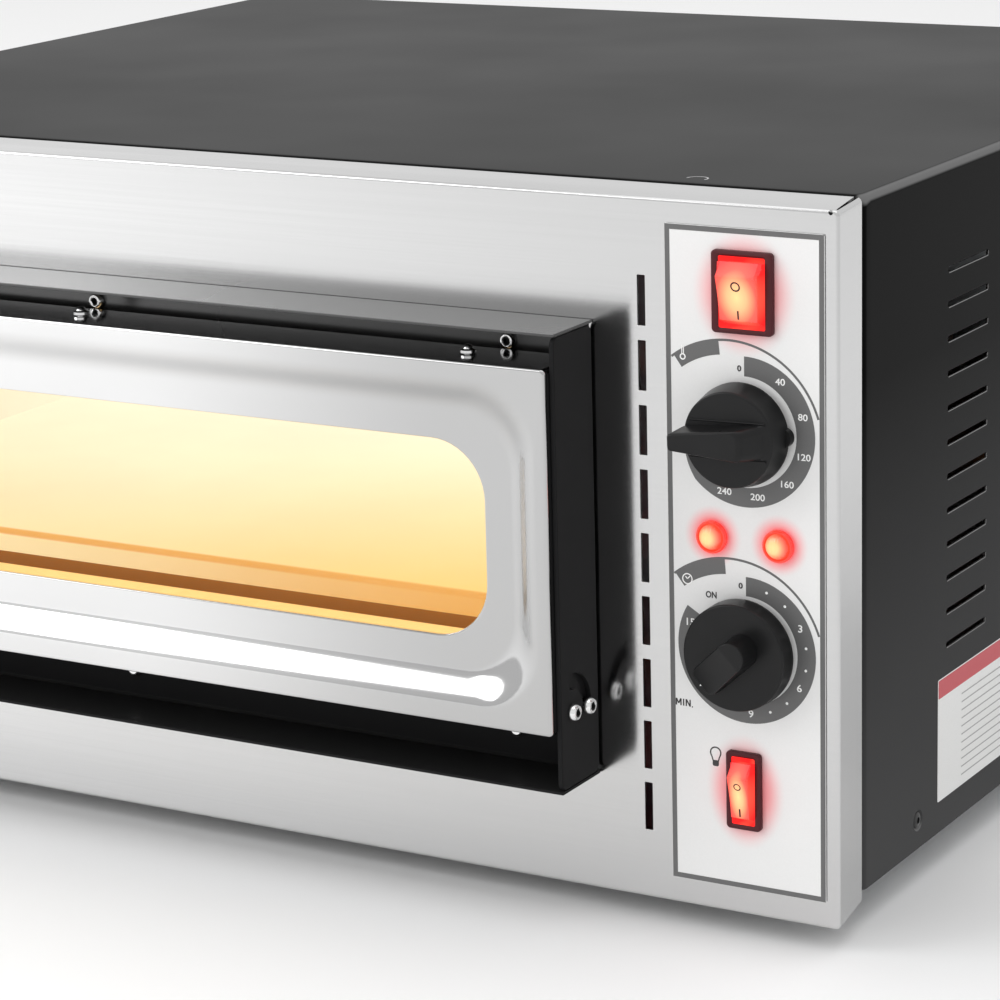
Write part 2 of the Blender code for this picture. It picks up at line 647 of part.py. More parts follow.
def chamber_lamp():
    """Oven lamp: ceramic holder in the lagging, bulb, and glass dome inside the chamber."""
    inner_wall = LINER["right"] + SHEET
    holder = [(83.0, 6.0), (83.0, 12.0), (96.0, 13.5), (109.2, 13.5), (109.2, 4.0), (104.0, 4.0)]
    turned("lamp_holder", "ceramic", "X", LAMP, holder, 14)
    bulb = [(104.5, 3.4), (109.0, 3.6), (111.0, 5.5), (114.0, 6.6), (116.5, 5.6), (118.0, 3.0)]
    turned("lamp_bulb", "glass", "X", LAMP, bulb, 10)
    dome = [(inner_wall + GAP, 20.0), (inner_wall + 1.8, 20.0), (inner_wall + 2.2, 15.5),
            (120.5, 12.5), (122.5, 6.0), (121.0, 5.4), (119.4, 10.8), (inner_wall + 1.4, 13.6),
            (inner_wall + GAP, 13.6)]
    cap = turned("lamp_dome", "glass", "X", LAMP, dome, 12, closed=True)
    plug = cutter(prism, "X", circle(LAMP, 5.8, 12), 121.2, 122.4)
    combine(cap, [plug], "UNION")


def lagging():
    """Mineral wool round the chamber, one slab for each side."""
    right, left = LINER["right"], LINER["left"]
    top, bottom, back = LINER["top"], LINER["bottom"], LINER["back"]
    front = 8.0
    block("insulation_top", "mineral_wool", (right - 8, left + 20), (front, LAGGING_BACK), (18, top - 0.5))
    block("insulation_bottom", "mineral_wool", (right - 8, left + 20), (front, LAGGING_BACK),
          (bottom + 0.5, 246))
    block("insulation_left", "mineral_wool", (left + 0.5, left + 34), (front, LAGGING_BACK), (top, bottom))
    block("insulation_back", "mineral_wool", (right, left), (back + 0.5, LAGGING_BACK), (top, bottom))
    side = block("insulation_right", "mineral_wool", (PARTITION + SHEET + 0.5, right - 0.5),
                 (front, LAGGING_BACK), (top, bottom))
    cut(side, wall_passages(PARTITION - 3, right + 3))


def control_partition():
    """Galvanised wall between the hot chamber and the control bay."""
    wall = block("control_partition", "galvanised_steel", (PARTITION, PARTITION + SHEET), (1.6, 497.0),
                 (1.6, 269.4))
    return cut(wall, wall_passages(PARTITION - 3, PARTITION + SHEET + 3))


# ---- controls -------------------------------------------------------------------------------
def control_fascia():
    """Printed film on the steel front, behind the knobs and switches."""
    behind = (-GAP - FASCIA_THICK, -GAP)
    film = block("control_fascia", "fascia_film", FASCIA[:2], behind, FASCIA[2:])
    return cut(film, control_cutouts((-4, 3)))


def switch_body(name, switch):
    """Snap-in housing of a rocker switch, with the bezel that rests on the fascia."""
    left, below = switch["left"], switch["below"]
    seat = -GAP - FASCIA_THICK - GAP
    half_bezel, half_body = switch["bezel"] / 2, switch["body"] / 2
    housing = block(name, "black_plastic", (left - half_body, left + half_body), (seat - 1, 24),
                    (below - SWITCH_TALL / 2, below + SWITCH_TALL / 2))
    edge = (left - half_bezel, left + half_bezel, below - BEZEL_TALL / 2, below + BEZEL_TALL / 2)
    loops = [(rectangle(*edge, 1.6, 3), seat), (rectangle(*edge, 1.6, 3), seat - 1.4),
             (rectangle(*grow(edge, -0.8), 1.4, 3), seat - 2.2)]
    bezel = cutter(skin_loops, "Y", loops)
    combine(housing, [bezel], "UNION")
    half = switch["rocker"] / 2 + GAP
    well = cutter(block, (left - half, left + half), (seat - 6, 9.5), (below - 13.3, below + 13.3))
    return combine(housing, [well], "DIFFERENCE")


def rocker(name, switch):
    """Rocker of a switch, shown with its lower half pressed; its origin is on its pivot."""
    half = switch["rocker"] / 2
    left, below = switch["left"], switch["below"]
    tilt = math.radians(ROCKER_TILT)
    outline = []
    for out, up in ROCKER_SECTION:
        outline.append((out * math.cos(tilt) - up * math.sin(tilt),
                        below - out * math.sin(tilt) - up * math.cos(tilt)))
    piece = prism(name, "red_lens", "X", outline, left - half, left + half)
    set_origin(piece, Vector((X(left), Y(0), Z(below))))
    return smooth(piece, 30)


def indicator_lamp(name, centre):
    """Round neon lamp: a lens with a rim, and a stem through the steel front."""
    seat = -2 * GAP - FASCIA_THICK
    profile = [(18.0, 3.8), (seat, 4.2), (seat, 6.4), (seat - 1.6, 6.1), (seat - 2.9, 4.6),
               (seat - 4.2, 2.0)]
    return turned(name, "red_lens", "Y", centre, profile, 16)


def knob_body(name, size):
    """The turned part of a knob: a skirt that narrows towards its flat face."""
    skirt = [(KNOB_SEAT, size["base"] - 0.5), (KNOB_SEAT - 0.8, size["base"]),
             (size["face"] + 0.9, size["rim"]), (size["face"], size["rim"] - 0.9)]
    return turned(name, "black_plastic", "Y", (0, 0), skirt, 28)


def wedge(nose_half, nose_end, tail_half, tail_end, corner=3.0):
    """Outline of a grip that widens from its pointing end, at the top, to its tail."""
    return [(-nose_half, -nose_end), (nose_half, -nose_end), (tail_half, tail_end - corner),
            (tail_half - corner, tail_end), (corner - tail_half, tail_end), (-tail_half, tail_end - corner)]


def thermostat_knob():
    """Knob with a blade across its whole face; the blade's nose overhangs the rim and points."""
    size = THERMOSTAT_KNOB
    body = knob_body("thermostat_knob", size)
    front, nose, tail = size["front"], size["nose"], size["tail"]
    levels = [(wedge(4.6, size["rim"] - 1.5, 6.4, tail + 1.6), size["face"] + 4),
              (wedge(4.4, size["rim"] - 0.5, 6.0, tail + 1.2), size["face"]),
              (wedge(3.2, nose - 0.4, 4.9, tail), front + 1.2),
              (wedge(2.4, nose - 1.2, 4.1, tail - 0.8), front)]
    combine(body, [cutter(skin_loops, "Y", levels)], "UNION")
    return finish_knob(body, THERMOSTAT, THERMOSTAT_POINTS)


def timer_knob():
    """Knob with a bar that stands tall at its round tail and slopes down to its pointing end."""
    size = TIMER_KNOB
    body = knob_body("timer_knob", size)
    half, nose, tail = size["half"], size["nose"], size["tail"]
    sweep = [math.radians(30 * step) for step in range(7)]
    plan = [(half * math.cos(a), tail - half + half * math.sin(a)) for a in sweep]
    plan += [(-half, 4 - nose), (2 - half, -nose), (half - 2, -nose), (half, 4 - nose)]
    bar = cutter(prism, "Y", plan, size["front"], size["face"] + 4)
    slope = [(size["front"] - 5, tail - 5), (size["front"], tail - 5), (size["tip"], -nose),
             (size["tip"], -nose - 5), (size["front"] - 5, -nose - 5)]
    combine(bar, [cutter(prism, "X", slope, -half - 2, half + 2)], "DIFFERENCE")
    combine(body, [bar], "UNION")
    return finish_knob(body, TIMER, TIMER_POINTS)


def finish_knob(body, centre, points_to):
    """Bore a knob, turn it a number of degrees clockwise from straight up, and put it on its axis."""
    bore = cutter(prism, "Y", circle((0, 0), KNOB_BORE, SCREW_SIDES), KNOB_SEAT - BORE_DEPTH, KNOB_SEAT + 2)
    combine(body, [bore], "DIFFERENCE")
    body.data.transform(Matrix.Translation(-Vector((X(0), Y(0), Z(0)))))
    body.data.transform(Matrix.Rotation(math.radians(points_to), 4, "Y"))
    body.location = (X(centre[0]), Y(0), Z(centre[1]))
    return smooth(body)


def spindle(name, centre):
    """Steel spindle of a knob, on the knob's axis."""
    profile = [(-14.5, 2.6), (-14.0, 3.0), (9.5, 3.0)]
    shaft = turned(name, "screw_steel", "Y", centre, profile, 12)
    set_origin(shaft, Vector((X(centre[0]), Y(0), Z(centre[1]))))
    return shaft


def control_body(name, finish, centre, half, depth):
    """Thermostat or timer case behind the steel front, with the bush that its spindle turns in."""
    left, below = centre
    case = block(name, finish, (left - half, left + half), (SHEET + 1.2, depth), (below - half, below + half),
                 4, "Y")
    bush = cutter(prism, "Y", circle(centre, 4.9, 16), -2.4, SHEET + 4)
    combine(case, [bush], "UNION")
    return combine(case, [cutter(prism, "Y", circle(centre, 3.35, 12), -6, 10)], "DIFFERENCE")


def thermostat_probe():
    """Capillary from the thermostat through the partition to its sensing end in the chamber."""
    behind, below = PROBE
    left, level = THERMOSTAT
    points = [(left, 42.6, level), (left, 70, level), (left + 6, 100, level + 1), (left + 22, 130, below),
              (70, 147, below), (80, behind, below), (100, behind, below), (112, behind, below),
              (116, 154, below), (117, 162, below), (117, 250, below)]
    return tube("thermostat_probe", "copper", points, 1.4)


def terminal_block():
    """Mains terminal strip on the floor of the control bay."""
    strip = block("terminal_block", "moulded_grey", (38, 66), (370, 418), (248, 269.7))
    slots = [cutter(block, (34, 70), (378 + 12 * i, 381 + 12 * i), (240, 258)) for i in range(3)]
    return cut(strip, slots)


def cable_gland():
    """Gland that the mains lead leaves through, with its bore left open."""
    outside = BACK_FACE + GAP
    profile = [(GLAND_END, 5.2), (GLAND_END - 1.5, 7.4), (outside + 5.5, 8.2), (outside + 5.2, 9.6),
               (outside, 9.6), (outside, 5.9), (BACK_FACE - 9, 5.9), (BACK_FACE - 9, 4.6), (GLAND_END, 4.6)]
    return turned("cable_gland", "black_plastic", "Y", GLAND, profile, 12, closed=True)


# ---- the oven -------------------------------------------------------------------------------
def build_casing():
    front_panel()
    outer_cover()
    bottom_plate()
    back_panel()
    for name, place_at in zip(("front_right", "back_right", "front_left", "back_left"), FEET):
        foot("foot_" + name, *place_at)
    cable_gland()
    terminal_block()


def build_hood():
    hood_plate("hood_top", HOOD["top"], MOUTH[2] - 3, HOOD_SCREWS_TOP, HOOD_SCREW_TOP_Z)
    hood_plate("hood_bottom", HOOD["bottom"], MOUTH[3] + 3, HOOD_SCREWS_BOTTOM, HOOD_SCREW_BOTTOM_Z)
    hood_side("hood_side_right", HOOD["right"], 1)
    hood_side("hood_side_left", HOOD["left"], -1)
    seat = -HOOD_SHEET - 2 * GAP
    rows = (("top", HOOD_SCREWS_TOP, HOOD_SCREW_TOP_Z), ("bottom", HOOD_SCREWS_BOTTOM, HOOD_SCREW_BOTTOM_Z))
    for row, screws, level in rows:
        for place_name, left in zip(("right", "middle", "left"), screws):
            socket_screw(f"hood_screw_{row}_{place_name}", "Y", (left, level), seat, -1, (4.0, 2.8), (1.9, 8))


def build_door():
    pieces = [door_skin(), door_pan(), door_glass(), glass_retainer()]
    for name, left in zip(("right", "middle", "left"), DOOR_SCREWS):
        pieces.append(door_screw("door_screw_" + name, left))
    hinge_bolts("right", HOOD["right"], -1)
    hinge_bolts("left", HOOD["left"], 1)
    bolts = [piece for piece in bpy.data.objects if "_bolt_" in piece.name]
    hinge = Vector((0, Y(PIVOT[0]), Z(PIVOT[1])))
    for piece in pieces + bolts:
        set_origin(piece, hinge)


def build_chamber():
    chamber_liner()
    stone_slab()
    stone_rail("stone_rail_right", LINER["right"] + SHEET, 1)
    stone_rail("stone_rail_left", LINER["left"] - SHEET, -1)
    heating_element("upper_heating_element", ELEMENT_LEVELS["upper"])
    heating_element("lower_heating_element", ELEMENT_LEVELS["lower"])
    chamber_lamp()
    lagging()
    control_partition()


def build_controls():
    control_fascia()
    switch_body("power_switch_body", POWER)
    switch_body("light_switch_body", LIGHT)
    rocker("power_rocker", POWER)
    rocker("light_rocker", LIGHT)
    for side, centre in INDICATORS.items():
        indicator_lamp("indicator_lamp_" + side, centre)
    control_body("thermostat_body", "moulded_grey", THERMOSTAT, 18.0, 41.0)
    control_body("timer_body", "moulded_grey", TIMER, 21.0, 38.0)
    thermostat_probe()
    thermostat_knob()
    timer_knob()
    spindle("thermostat_spindle", THERMOSTAT)
    spindle("timer_spindle", TIMER)


def main():
    for old in list(bpy.data.objects):
        bpy.data.objects.remove(old)
    build_casing()
    build_hood()
    build_door()
    build_chamber()
    build_controls()


main()
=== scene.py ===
"""Looks of a countertop pizza oven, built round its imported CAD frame.

Every size is in millimetres. Places are measured as on a fitter's drawing: LEFT of the oven's right
side, BEHIND the steel front's face and BELOW the top of the oven. X, Y and Z turn those distances
into the frame's metres, and spans() reads a CAD node's extents back in the same units.
"""
import math

import bmesh
import bpy
from mathutils import Matrix, Vector


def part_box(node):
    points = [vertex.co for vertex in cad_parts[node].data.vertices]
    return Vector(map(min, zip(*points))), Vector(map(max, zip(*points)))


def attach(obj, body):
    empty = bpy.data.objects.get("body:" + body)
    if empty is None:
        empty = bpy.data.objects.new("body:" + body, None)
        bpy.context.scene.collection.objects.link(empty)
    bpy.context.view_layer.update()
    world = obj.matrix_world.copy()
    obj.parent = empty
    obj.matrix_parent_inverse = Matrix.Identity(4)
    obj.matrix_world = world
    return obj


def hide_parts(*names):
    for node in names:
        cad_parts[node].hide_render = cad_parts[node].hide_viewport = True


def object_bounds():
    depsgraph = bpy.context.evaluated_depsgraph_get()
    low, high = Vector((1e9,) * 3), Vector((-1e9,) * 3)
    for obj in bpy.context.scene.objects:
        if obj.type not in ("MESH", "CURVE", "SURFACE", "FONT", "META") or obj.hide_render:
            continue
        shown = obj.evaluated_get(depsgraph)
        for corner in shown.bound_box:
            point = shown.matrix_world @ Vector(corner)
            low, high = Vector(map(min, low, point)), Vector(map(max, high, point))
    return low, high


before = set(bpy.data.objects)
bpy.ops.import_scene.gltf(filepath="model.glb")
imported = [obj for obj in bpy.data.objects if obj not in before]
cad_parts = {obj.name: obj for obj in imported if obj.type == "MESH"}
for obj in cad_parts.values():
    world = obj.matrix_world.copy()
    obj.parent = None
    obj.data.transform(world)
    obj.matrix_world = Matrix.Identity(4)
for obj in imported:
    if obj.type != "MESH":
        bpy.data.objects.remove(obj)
CAD_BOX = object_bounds()
PANEL_LOW, PANEL_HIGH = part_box("front_panel")
OVERHANG = 4.2                  # how far the steel front's face reaches beyond the casing's sides
MM = 0.001

# ---- how finely round shapes are stepped ----------------------------------------------------
CORNER_STEPS = 10
ROUND_SEGMENTS = 48

# ---- sheet metal ----------------------------------------------------------------------------
SHEET = 1.0
GAP = 0.3
FRONT_BEND = 1.3                # outside radius of the steel front's folds
COVER_BEND = 3.6                # outside radius of the cover's long folds
COVER_LIP = 3.6                 # how far the cover's front edge curls in
MOUTH = (122.0, 514.0, 76.0, 174.0)
SLITS = {"count": 9, "first": 29.3, "pitch": 24.9, "tall": 19.3, "near": 75.0, "far": 78.4}
LOUVRES = {"count": 12, "first": 43.0, "pitch": 13.84, "front": 110.8, "back": 151.0, "tall": 2.2}
BACK_VENTS = {"count": 8, "first": 40.0, "pitch": 12.0, "near": 20.0, "far": 70.0, "tall": 4.0}
CORNER_SEAM = {"near": 1.3, "wide": 0.55, "deep": 2.2, "start": 2.4}
CORNER_NOTCH = {"left": 3.4, "below": 0.9, "radius": 0.9}

# ---- hood and door --------------------------------------------------------------------------
ACROSS = ("right", "middle", "left")
HOOD_SHEET = 1.2
HOOD_SIDE = 2.0
SLOT_HALF_WIDTH = 3.2
GUIDE_RADIUS = 12.0
GUIDE_ANGLE = -3.8
DOOR_TRAVEL = 90.0
DOOR_BEND = 1.1                 # outside radius of the door's folds
BOLT_HOLE = 2.8                 # radius
SCREW_HOLE = 1.9                # radius
EMBOSS_DEPTH = 6.0
EMBOSS_OUTER = (105.0, 531.0, 67.2, 196.4)
EMBOSS_INNER = (119.0, 517.0, 81.0, 183.4)
WINDOW = (130.7, 505.3, 93.2, 171.2)
WINDOW_RADIUS = 23.0

# ---- control panel --------------------------------------------------------------------------
BORDER = 2.0
PRINT = 0.06                    # thickness of printed ink
DIAL = {"inner": 21.2, "outer": 28.7, "numerals": 25.0}
TEMPERATURES = ((40, 36), (80, 72), (120, 107), (160, 137), (200, 168), (240, 200))
MINUTES = ((3, 63.5), (6, 119), (9, 176), (12, 240), (15, 289))
MINUTE_DOTS = (20, 40, 81, 101, 138, 157, 197, 218, 256, 272)
LETTER_M = ((0, 0), (0, 1), (0.5, 0.3), (1, 1), (1, 0))
LETTER_I = ((0, 0), (0, 1))
LETTER_N = ((0, 0), (0, 1), (0.85, 0), (0.85, 1))
THERMOSTAT_ARC = {"left": 40.4, "below": 89.3, "radius": 38.8, "band": 6.0, "from": -36.0, "to": -6.0}
TIMER_ARC = {"left": 40.0, "below": 172.6, "radius": 38.6, "band": 6.6, "from": -38.0, "to": -4.0}
SPINDLE_HOLE = 5.2              # radius
LAMP_HOLE = 4.6                 # radius
SWITCH_OPENING = 28.6           # height of a switch's cut-out in the panel
WELL_HALF = 13.0                # half the height of the well that a rocker rocks in
WELL_DEPTH = 9.5
ROCKER_TILT = 12.0
THERMOSTAT_POINTS = 268.5       # clockwise from straight up
TIMER_POINTS = 228.0
KNOB_SEAT = -3.0
LABEL = {"front": 102.5, "back": 212.0, "top": 206.6, "bottom": 257.9, "band": 8.0, "thick": 0.16}
LABEL_RULES = {"count": 11, "first": 12.0, "pitch": 3.45, "tall": 0.55}
DECK_MARK = {"left": 75.0, "behind": 43.5, "outer": 4.6, "inner": 3.9}
SIDE_SCREWS = (83.3, 430.0)
SIDE_SCREW_LEVEL = 259.1

# ---- view -----------------------------------------------------------------------------------
CAMERA_AT = (0.82107, -1.38724, 0.51160)
CAMERA_TURN = (("Z", 30.3895), ("X", -14.678), ("Y", 1.520))    # degrees, from looking straight back
FOCAL_LENGTH = 128.03


def X(left):
    """Distance left of the oven's right side to the frame's X."""
    return PANEL_HIGH.x - (left + OVERHANG) * MM


def Y(behind):
    """Distance behind the steel front to the frame's Y."""
    return PANEL_LOW.y + behind * MM


def Z(below):
    """Distance below the top to the frame's Z."""
    return PANEL_HIGH.z - below * MM


def spans(node):
    """A CAD node's extents at rest: (left, behind, below), each a low and a high number."""
    low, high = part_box(node)
    left = ((X(0) - high.x) / MM, (X(0) - low.x) / MM)
    behind = ((low.y - PANEL_LOW.y) / MM, (high.y - PANEL_LOW.y) / MM)
    below = ((PANEL_HIGH.z - high.z) / MM, (PANEL_HIGH.z - low.z) / MM)
    return left, behind, below


def middle(node):
    """The middle of a CAD node, as (left, behind, below)."""
    return tuple((low + high) / 2 for low, high in spans(node))


# ---- materials ------------------------------------------------------------------------------
class Finish:
    """A procedural Principled material, built up socket by socket."""

    def __init__(self, name, colour, roughness, metallic=0.0, **sockets):
        self.material = bpy.data.materials.new(name)
        self.material.use_nodes = True
        self.material.diffuse_color = (*colour, 1.0)
        self.tree = self.material.node_tree
        self.shader = self.tree.nodes["Principled BSDF"]
        self.set("Base Color", (*colour, 1.0))
        self.set("Roughness", roughness)
        self.set("Metallic", metallic)
        for socket, value in sockets.items():
            self.set(socket.replace("_", " "), value)

    def set(self, socket, value):
        """Give a socket of the shader a value or a link."""
        self.feed(self.shader.inputs[socket], value)

    def feed(self, socket, value):
        if isinstance(value, bpy.types.NodeSocket):
            self.tree.links.new(value, socket)
        else:
            socket.default_value = value

    def node(self, kind, inputs, **settings):
        """A node with some of its settings and inputs given."""
        made = self.tree.nodes.new(kind)
        for setting, value in settings.items():
            setattr(made, setting, value)
        for socket, value in inputs.items():
            self.feed(made.inputs[socket], value)
        return made

    def point(self, stretch=(1, 1, 1), origin=(0, 0, 0)):
        """The place on the piece, in metres from origin and then stretched."""
        place_on = self.node("ShaderNodeTexCoord", {}).outputs["Object"]
        if any(origin):
            moved = self.node("ShaderNodeVectorMath", {0: place_on, 1: origin}, operation="SUBTRACT")
            place_on = moved.outputs[0]
        scaled = self.node("ShaderNodeVectorMath", {0: place_on, 1: stretch}, operation="MULTIPLY")
        return scaled.outputs[0]

    def noise(self, scale, stretch=(1, 1, 1), detail=3.0, rough=0.5):
        inputs = {"Vector": self.point(stretch), "Scale": scale, "Detail": detail, "Roughness": rough}
        return self.node("ShaderNodeTexNoise", inputs).outputs["Fac"]

    def cells(self, scale, stretch=(1, 1, 1), output="Distance"):
        inputs = {"Vector": self.point(stretch), "Scale": scale}
        return self.node("ShaderNodeTexVoronoi", inputs).outputs[output]

    def span(self, value, low, high, start=0.0, end=1.0, smooth=False):
        """A value between start and end turned into one between low and high."""
        inputs = {"Value": value, "From Min": start, "From Max": end, "To Min": low, "To Max": high}
        kind = "SMOOTHSTEP" if smooth else "LINEAR"
        return self.node("ShaderNodeMapRange", inputs, interpolation_type=kind).outputs["Result"]

    def mix(self, factor, first, second):
        """A colour between two colours."""
        made = self.node("ShaderNodeMix", {}, data_type="RGBA")
        self.feed(made.inputs[0], factor)
        self.feed(made.inputs[6], first if isinstance(first, bpy.types.NodeSocket) else (*first, 1.0))
        self.feed(made.inputs[7], second if isinstance(second, bpy.types.NodeSocket) else (*second, 1.0))
        return made.outputs[2]

    def ramp(self, factor, stops):
        """A colour ramp through (position, colour) stops."""
        made = self.node("ShaderNodeValToRGB", {"Fac": factor})
        elements = made.color_ramp.elements
        while len(elements) < len(stops):
            elements.new(0.5)
        for element, (position, colour) in zip(elements, stops):
            element.position = position
            element.color = (*colour, 1.0)
        return made.outputs["Color"]

    def away(self, centre, stretch=(1, 1, 1)):
        """Distance from a point, in stretched metres."""
        inputs = {0: self.point(stretch, centre)}
        return self.node("ShaderNodeVectorMath", inputs, operation="LENGTH").outputs["Value"]

    def axis(self, name):
        """One coordinate of the place on the piece."""
        return self.node("ShaderNodeSeparateXYZ", {0: self.point()}).outputs[name]

    def bump(self, height, distance, strength=1.0):
        """Raise the surface by a height between 0 and 1 times a distance in millimetres."""
        inputs = {"Height": height, "Distance": distance * MM, "Strength": strength}
        previous = self.shader.inputs["Normal"]
        if previous.is_linked:
            inputs["Normal"] = previous.links[0].from_socket
        self.set("Normal", self.node("ShaderNodeBump", inputs).outputs["Normal"])

    def glow(self, colour, strength):
        self.set("Emission Color", colour if isinstance(colour, bpy.types.NodeSocket) else (*colour, 1.0))
        self.set("Emission Strength", strength)


def brushed_steel():
    """Stainless sheet with a fine grain along its length, faint wider bands, and painted shade that darkens
    it towards its right end.
    """
    made = Finish("brushed_steel", (0.70, 0.70, 0.70), 0.16, 1.0, Anisotropic=0.75, Anisotropic_Rotation=0.25)
    grain = made.noise(1.0, (6, 6, 1500), 4.0, 0.65)
    bands = made.noise(1.0, (1.5, 1.5, 60), 2.0)
    made.set("Roughness", made.span(grain, 0.11, 0.20))
    # Painted shade: the base colour darkens from the left towards the right end.
    painted_shade_right_end = made.span(made.axis("X"), 0.0, 1.0, X(420), X(60), smooth=True)
    streaks = made.mix(made.span(bands, 0.2, 0.8), (0.70, 0.70, 0.70), (0.78, 0.78, 0.78))
    streaks = made.mix(painted_shade_right_end, streaks, (0.60, 0.60, 0.60))
    made.set("Base Color", made.mix(made.span(grain, 0.0, 0.35), streaks, (0.50, 0.50, 0.50)))
    made.bump(grain, 0.008, 0.35)
    return made.material


def polished_steel():
    """Bright pressed sheet: nearly a mirror, with the slow waves that pressing leaves, and a painted darker
    reflection towards its right end.
    """
    made = Finish("polished_steel", (0.76, 0.76, 0.76), 0.1, 1.0)
    waves = made.noise(14.0, (1, 1, 2.2), 1.0)
    wiped = made.noise(1.0, (9, 9, 420), 3.0)
    made.set("Roughness", made.span(wiped, 0.07, 0.13))
    # Painted reflection: the base colour darkens towards the right end, standing in for a darker surround
    # mirrored there.
    dull = made.span(made.axis("X"), 0.0, 1.0, X(300), X(140), smooth=True)
    made.set("Base Color", made.mix(dull, made.mix(waves, (0.68, 0.68, 0.68), (0.75, 0.75, 0.75)),
                                    (0.48, 0.48, 0.48)))
    made.bump(waves, 0.16, 0.5)
    return made.material


def black_paint(name, shine, rough=0.3, top=0.015):
    """Black powder coat with orange peel; shine is how strongly it mirrors, top the tone painted on a level
    face as a painted reflection.
    """
    made = Finish(name, (0.009, 0.009, 0.0095), rough, Specular_IOR_Level=shine)
    peel = made.noise(900.0, detail=2.0)
    cloud = made.noise(9.0, detail=2.0)
    made.set("Roughness", made.span(cloud, rough - 0.04, rough + 0.06))
    # Painted reflection: faces that look up are given the lighter top tone.
    facing = made.node("ShaderNodeSeparateXYZ", {0: made.node("ShaderNodeNewGeometry", {}).outputs["Normal"]})
    level = made.span(facing.outputs["Z"], 0.0, 1.0, 0.6, 0.95, smooth=True)
    body = made.mix(cloud, (0.012, 0.012, 0.0125), (0.018, 0.018, 0.0185))
    made.set("Base Color", made.mix(level, body, (top, top, top)))
    made.bump(peel, 0.012, 0.5)
    return made.material


def cover_paint():
    """Powder coat of the outer cover, with painted light: a painted reflection greys it towards the foot of
    its sides, and a painted highlight makes its bends pale.
    """
    made = Finish("cover_paint", (0.009, 0.009, 0.0095), 0.3, Specular_IOR_Level=0.02)
    cloud = made.noise(9.0, detail=2.0)
    made.set("Roughness", made.span(cloud, 0.26, 0.36))
    # Painted highlight: faces leaning between side and top, on the bends, turn pale grey.
    facing = made.node("ShaderNodeSeparateXYZ", {0: made.node("ShaderNodeNewGeometry", {}).outputs["Normal"]})
    lean = made.node("ShaderNodeMath", {0: facing.outputs["X"], 1: facing.outputs["Z"]}, operation="MULTIPLY")
    bend = made.span(lean.outputs[0], 0.0, 1.0, 0.12, 0.42, smooth=True)
    # Painted reflection: the colour greys towards the foot of the sides.
    low = made.span(made.axis("Z"), 0.0, 1.0, Z(70), Z(285))
    body = made.mix(low, (0.002, 0.002, 0.002), (0.075, 0.075, 0.076))
    body = made.mix(made.span(cloud, 0.0, 0.2), body, (0.008, 0.008, 0.008))
    made.set("Base Color", made.mix(bend, body, (0.15, 0.15, 0.15)))
    made.bump(made.noise(900.0, detail=2.0), 0.012, 0.5)
    return made.material


def moulded_plastic(name, colour, rough=0.42, grain=2600.0, shine=0.5):
    """Moulded plastic with an eroded grain and slightly rubbed patches."""
    made = Finish(name, colour, rough, Specular_IOR_Level=shine)
    pits = made.noise(grain, detail=2.0)
    rubbed = made.noise(120.0, detail=2.0)
    lighter = tuple(min(1.0, c * 1.35 + 0.002) for c in colour)
    made.set("Base Color", made.mix(rubbed, colour, lighter))
    made.set("Roughness", made.span(rubbed, rough - 0.06, rough + 0.08))
    made.bump(pits, 0.012, 0.5)
    return made.material


def warm_sheet(name, colour, glow_colour, strength, deep=0.55):
    """Aluminised sheet inside the baking chamber, tinted by heat, with the oven lamp's light painted on as a
    glow that changes with depth.
    """
    made = Finish(name, colour, 0.42, 0.85)
    spangle = made.cells(90.0, output="Color")
    grey = made.node("ShaderNodeRGBToBW", {0: spangle}).outputs[0]
    tint = made.noise(18.0, detail=3.0)
    darker = tuple(c * 0.82 for c in colour)
    made.set("Base Color", made.mix(tint, colour, darker))
    made.set("Roughness", made.span(grey, 0.34, 0.52))
    # Painted light: the glow stands in for the lamp's light, scaled towards deep at the back.
    depth = made.span(made.axis("Y"), 1.0, deep, Y(0), Y(300))
    lit = made.node("ShaderNodeMath", {0: depth, 1: strength}, operation="MULTIPLY").outputs[0]
    made.glow(glow_colour, lit)
    return made.material


def baking_stone():
    """Fired cordierite slab: sandy, pitted, browner where pizzas have lain, with the lamp's light painted on
    as a warm glow and a painted shade line along its front arris.
    """
    made = Finish("baking_stone", (0.78, 0.64, 0.42), 0.85)
    sand = made.noise(420.0, detail=4.0, rough=0.7)
    stain = made.noise(11.0, detail=4.0, rough=0.6)
    made.set("Base Color", made.mix(stain, (0.30, 0.25, 0.17), (0.22, 0.17, 0.10)))
    # Painted light: the glow's colour is cream deep in the chamber and deeper orange towards the right and
    # the front, with a darker orange painted shade line on the top front arris.
    to_right = made.span(made.axis("X"), 0.0, 1.0, X(430), X(130), smooth=True)
    depth = made.span(made.axis("Y"), 0.0, 1.0, Y(14), Y(250))
    painted_light_left = made.ramp(depth, ((0.0, (1.0, 0.78, 0.42)), (0.5, (1.0, 0.88, 0.62)),
                                  (1.0, (1.0, 0.92, 0.72))))
    painted_light_right = made.ramp(depth, ((0.0, (1.0, 0.64, 0.17)), (0.5, (1.0, 0.80, 0.42)),
                                   (1.0, (1.0, 0.94, 0.76))))
    lit = made.mix(to_right, painted_light_left, painted_light_right)
    near_edge = made.span(made.axis("Y"), 0.0, 1.0, Y(15.5), Y(18.5), smooth=True)
    painted_arris_shade = made.mix(near_edge, (0.84, 0.34, 0.035), lit)
    low = made.mix(to_right, (1.0, 0.76, 0.40), (0.86, 0.38, 0.06))
    edge = made.span(made.axis("Z"), 0.0, 1.0, Z(169.0), Z(168.0), smooth=True)
    made.glow(made.mix(edge, low, painted_arris_shade), made.span(stain, 0.90, 0.82))
    made.bump(sand, 0.25, 0.6)
    return made.material


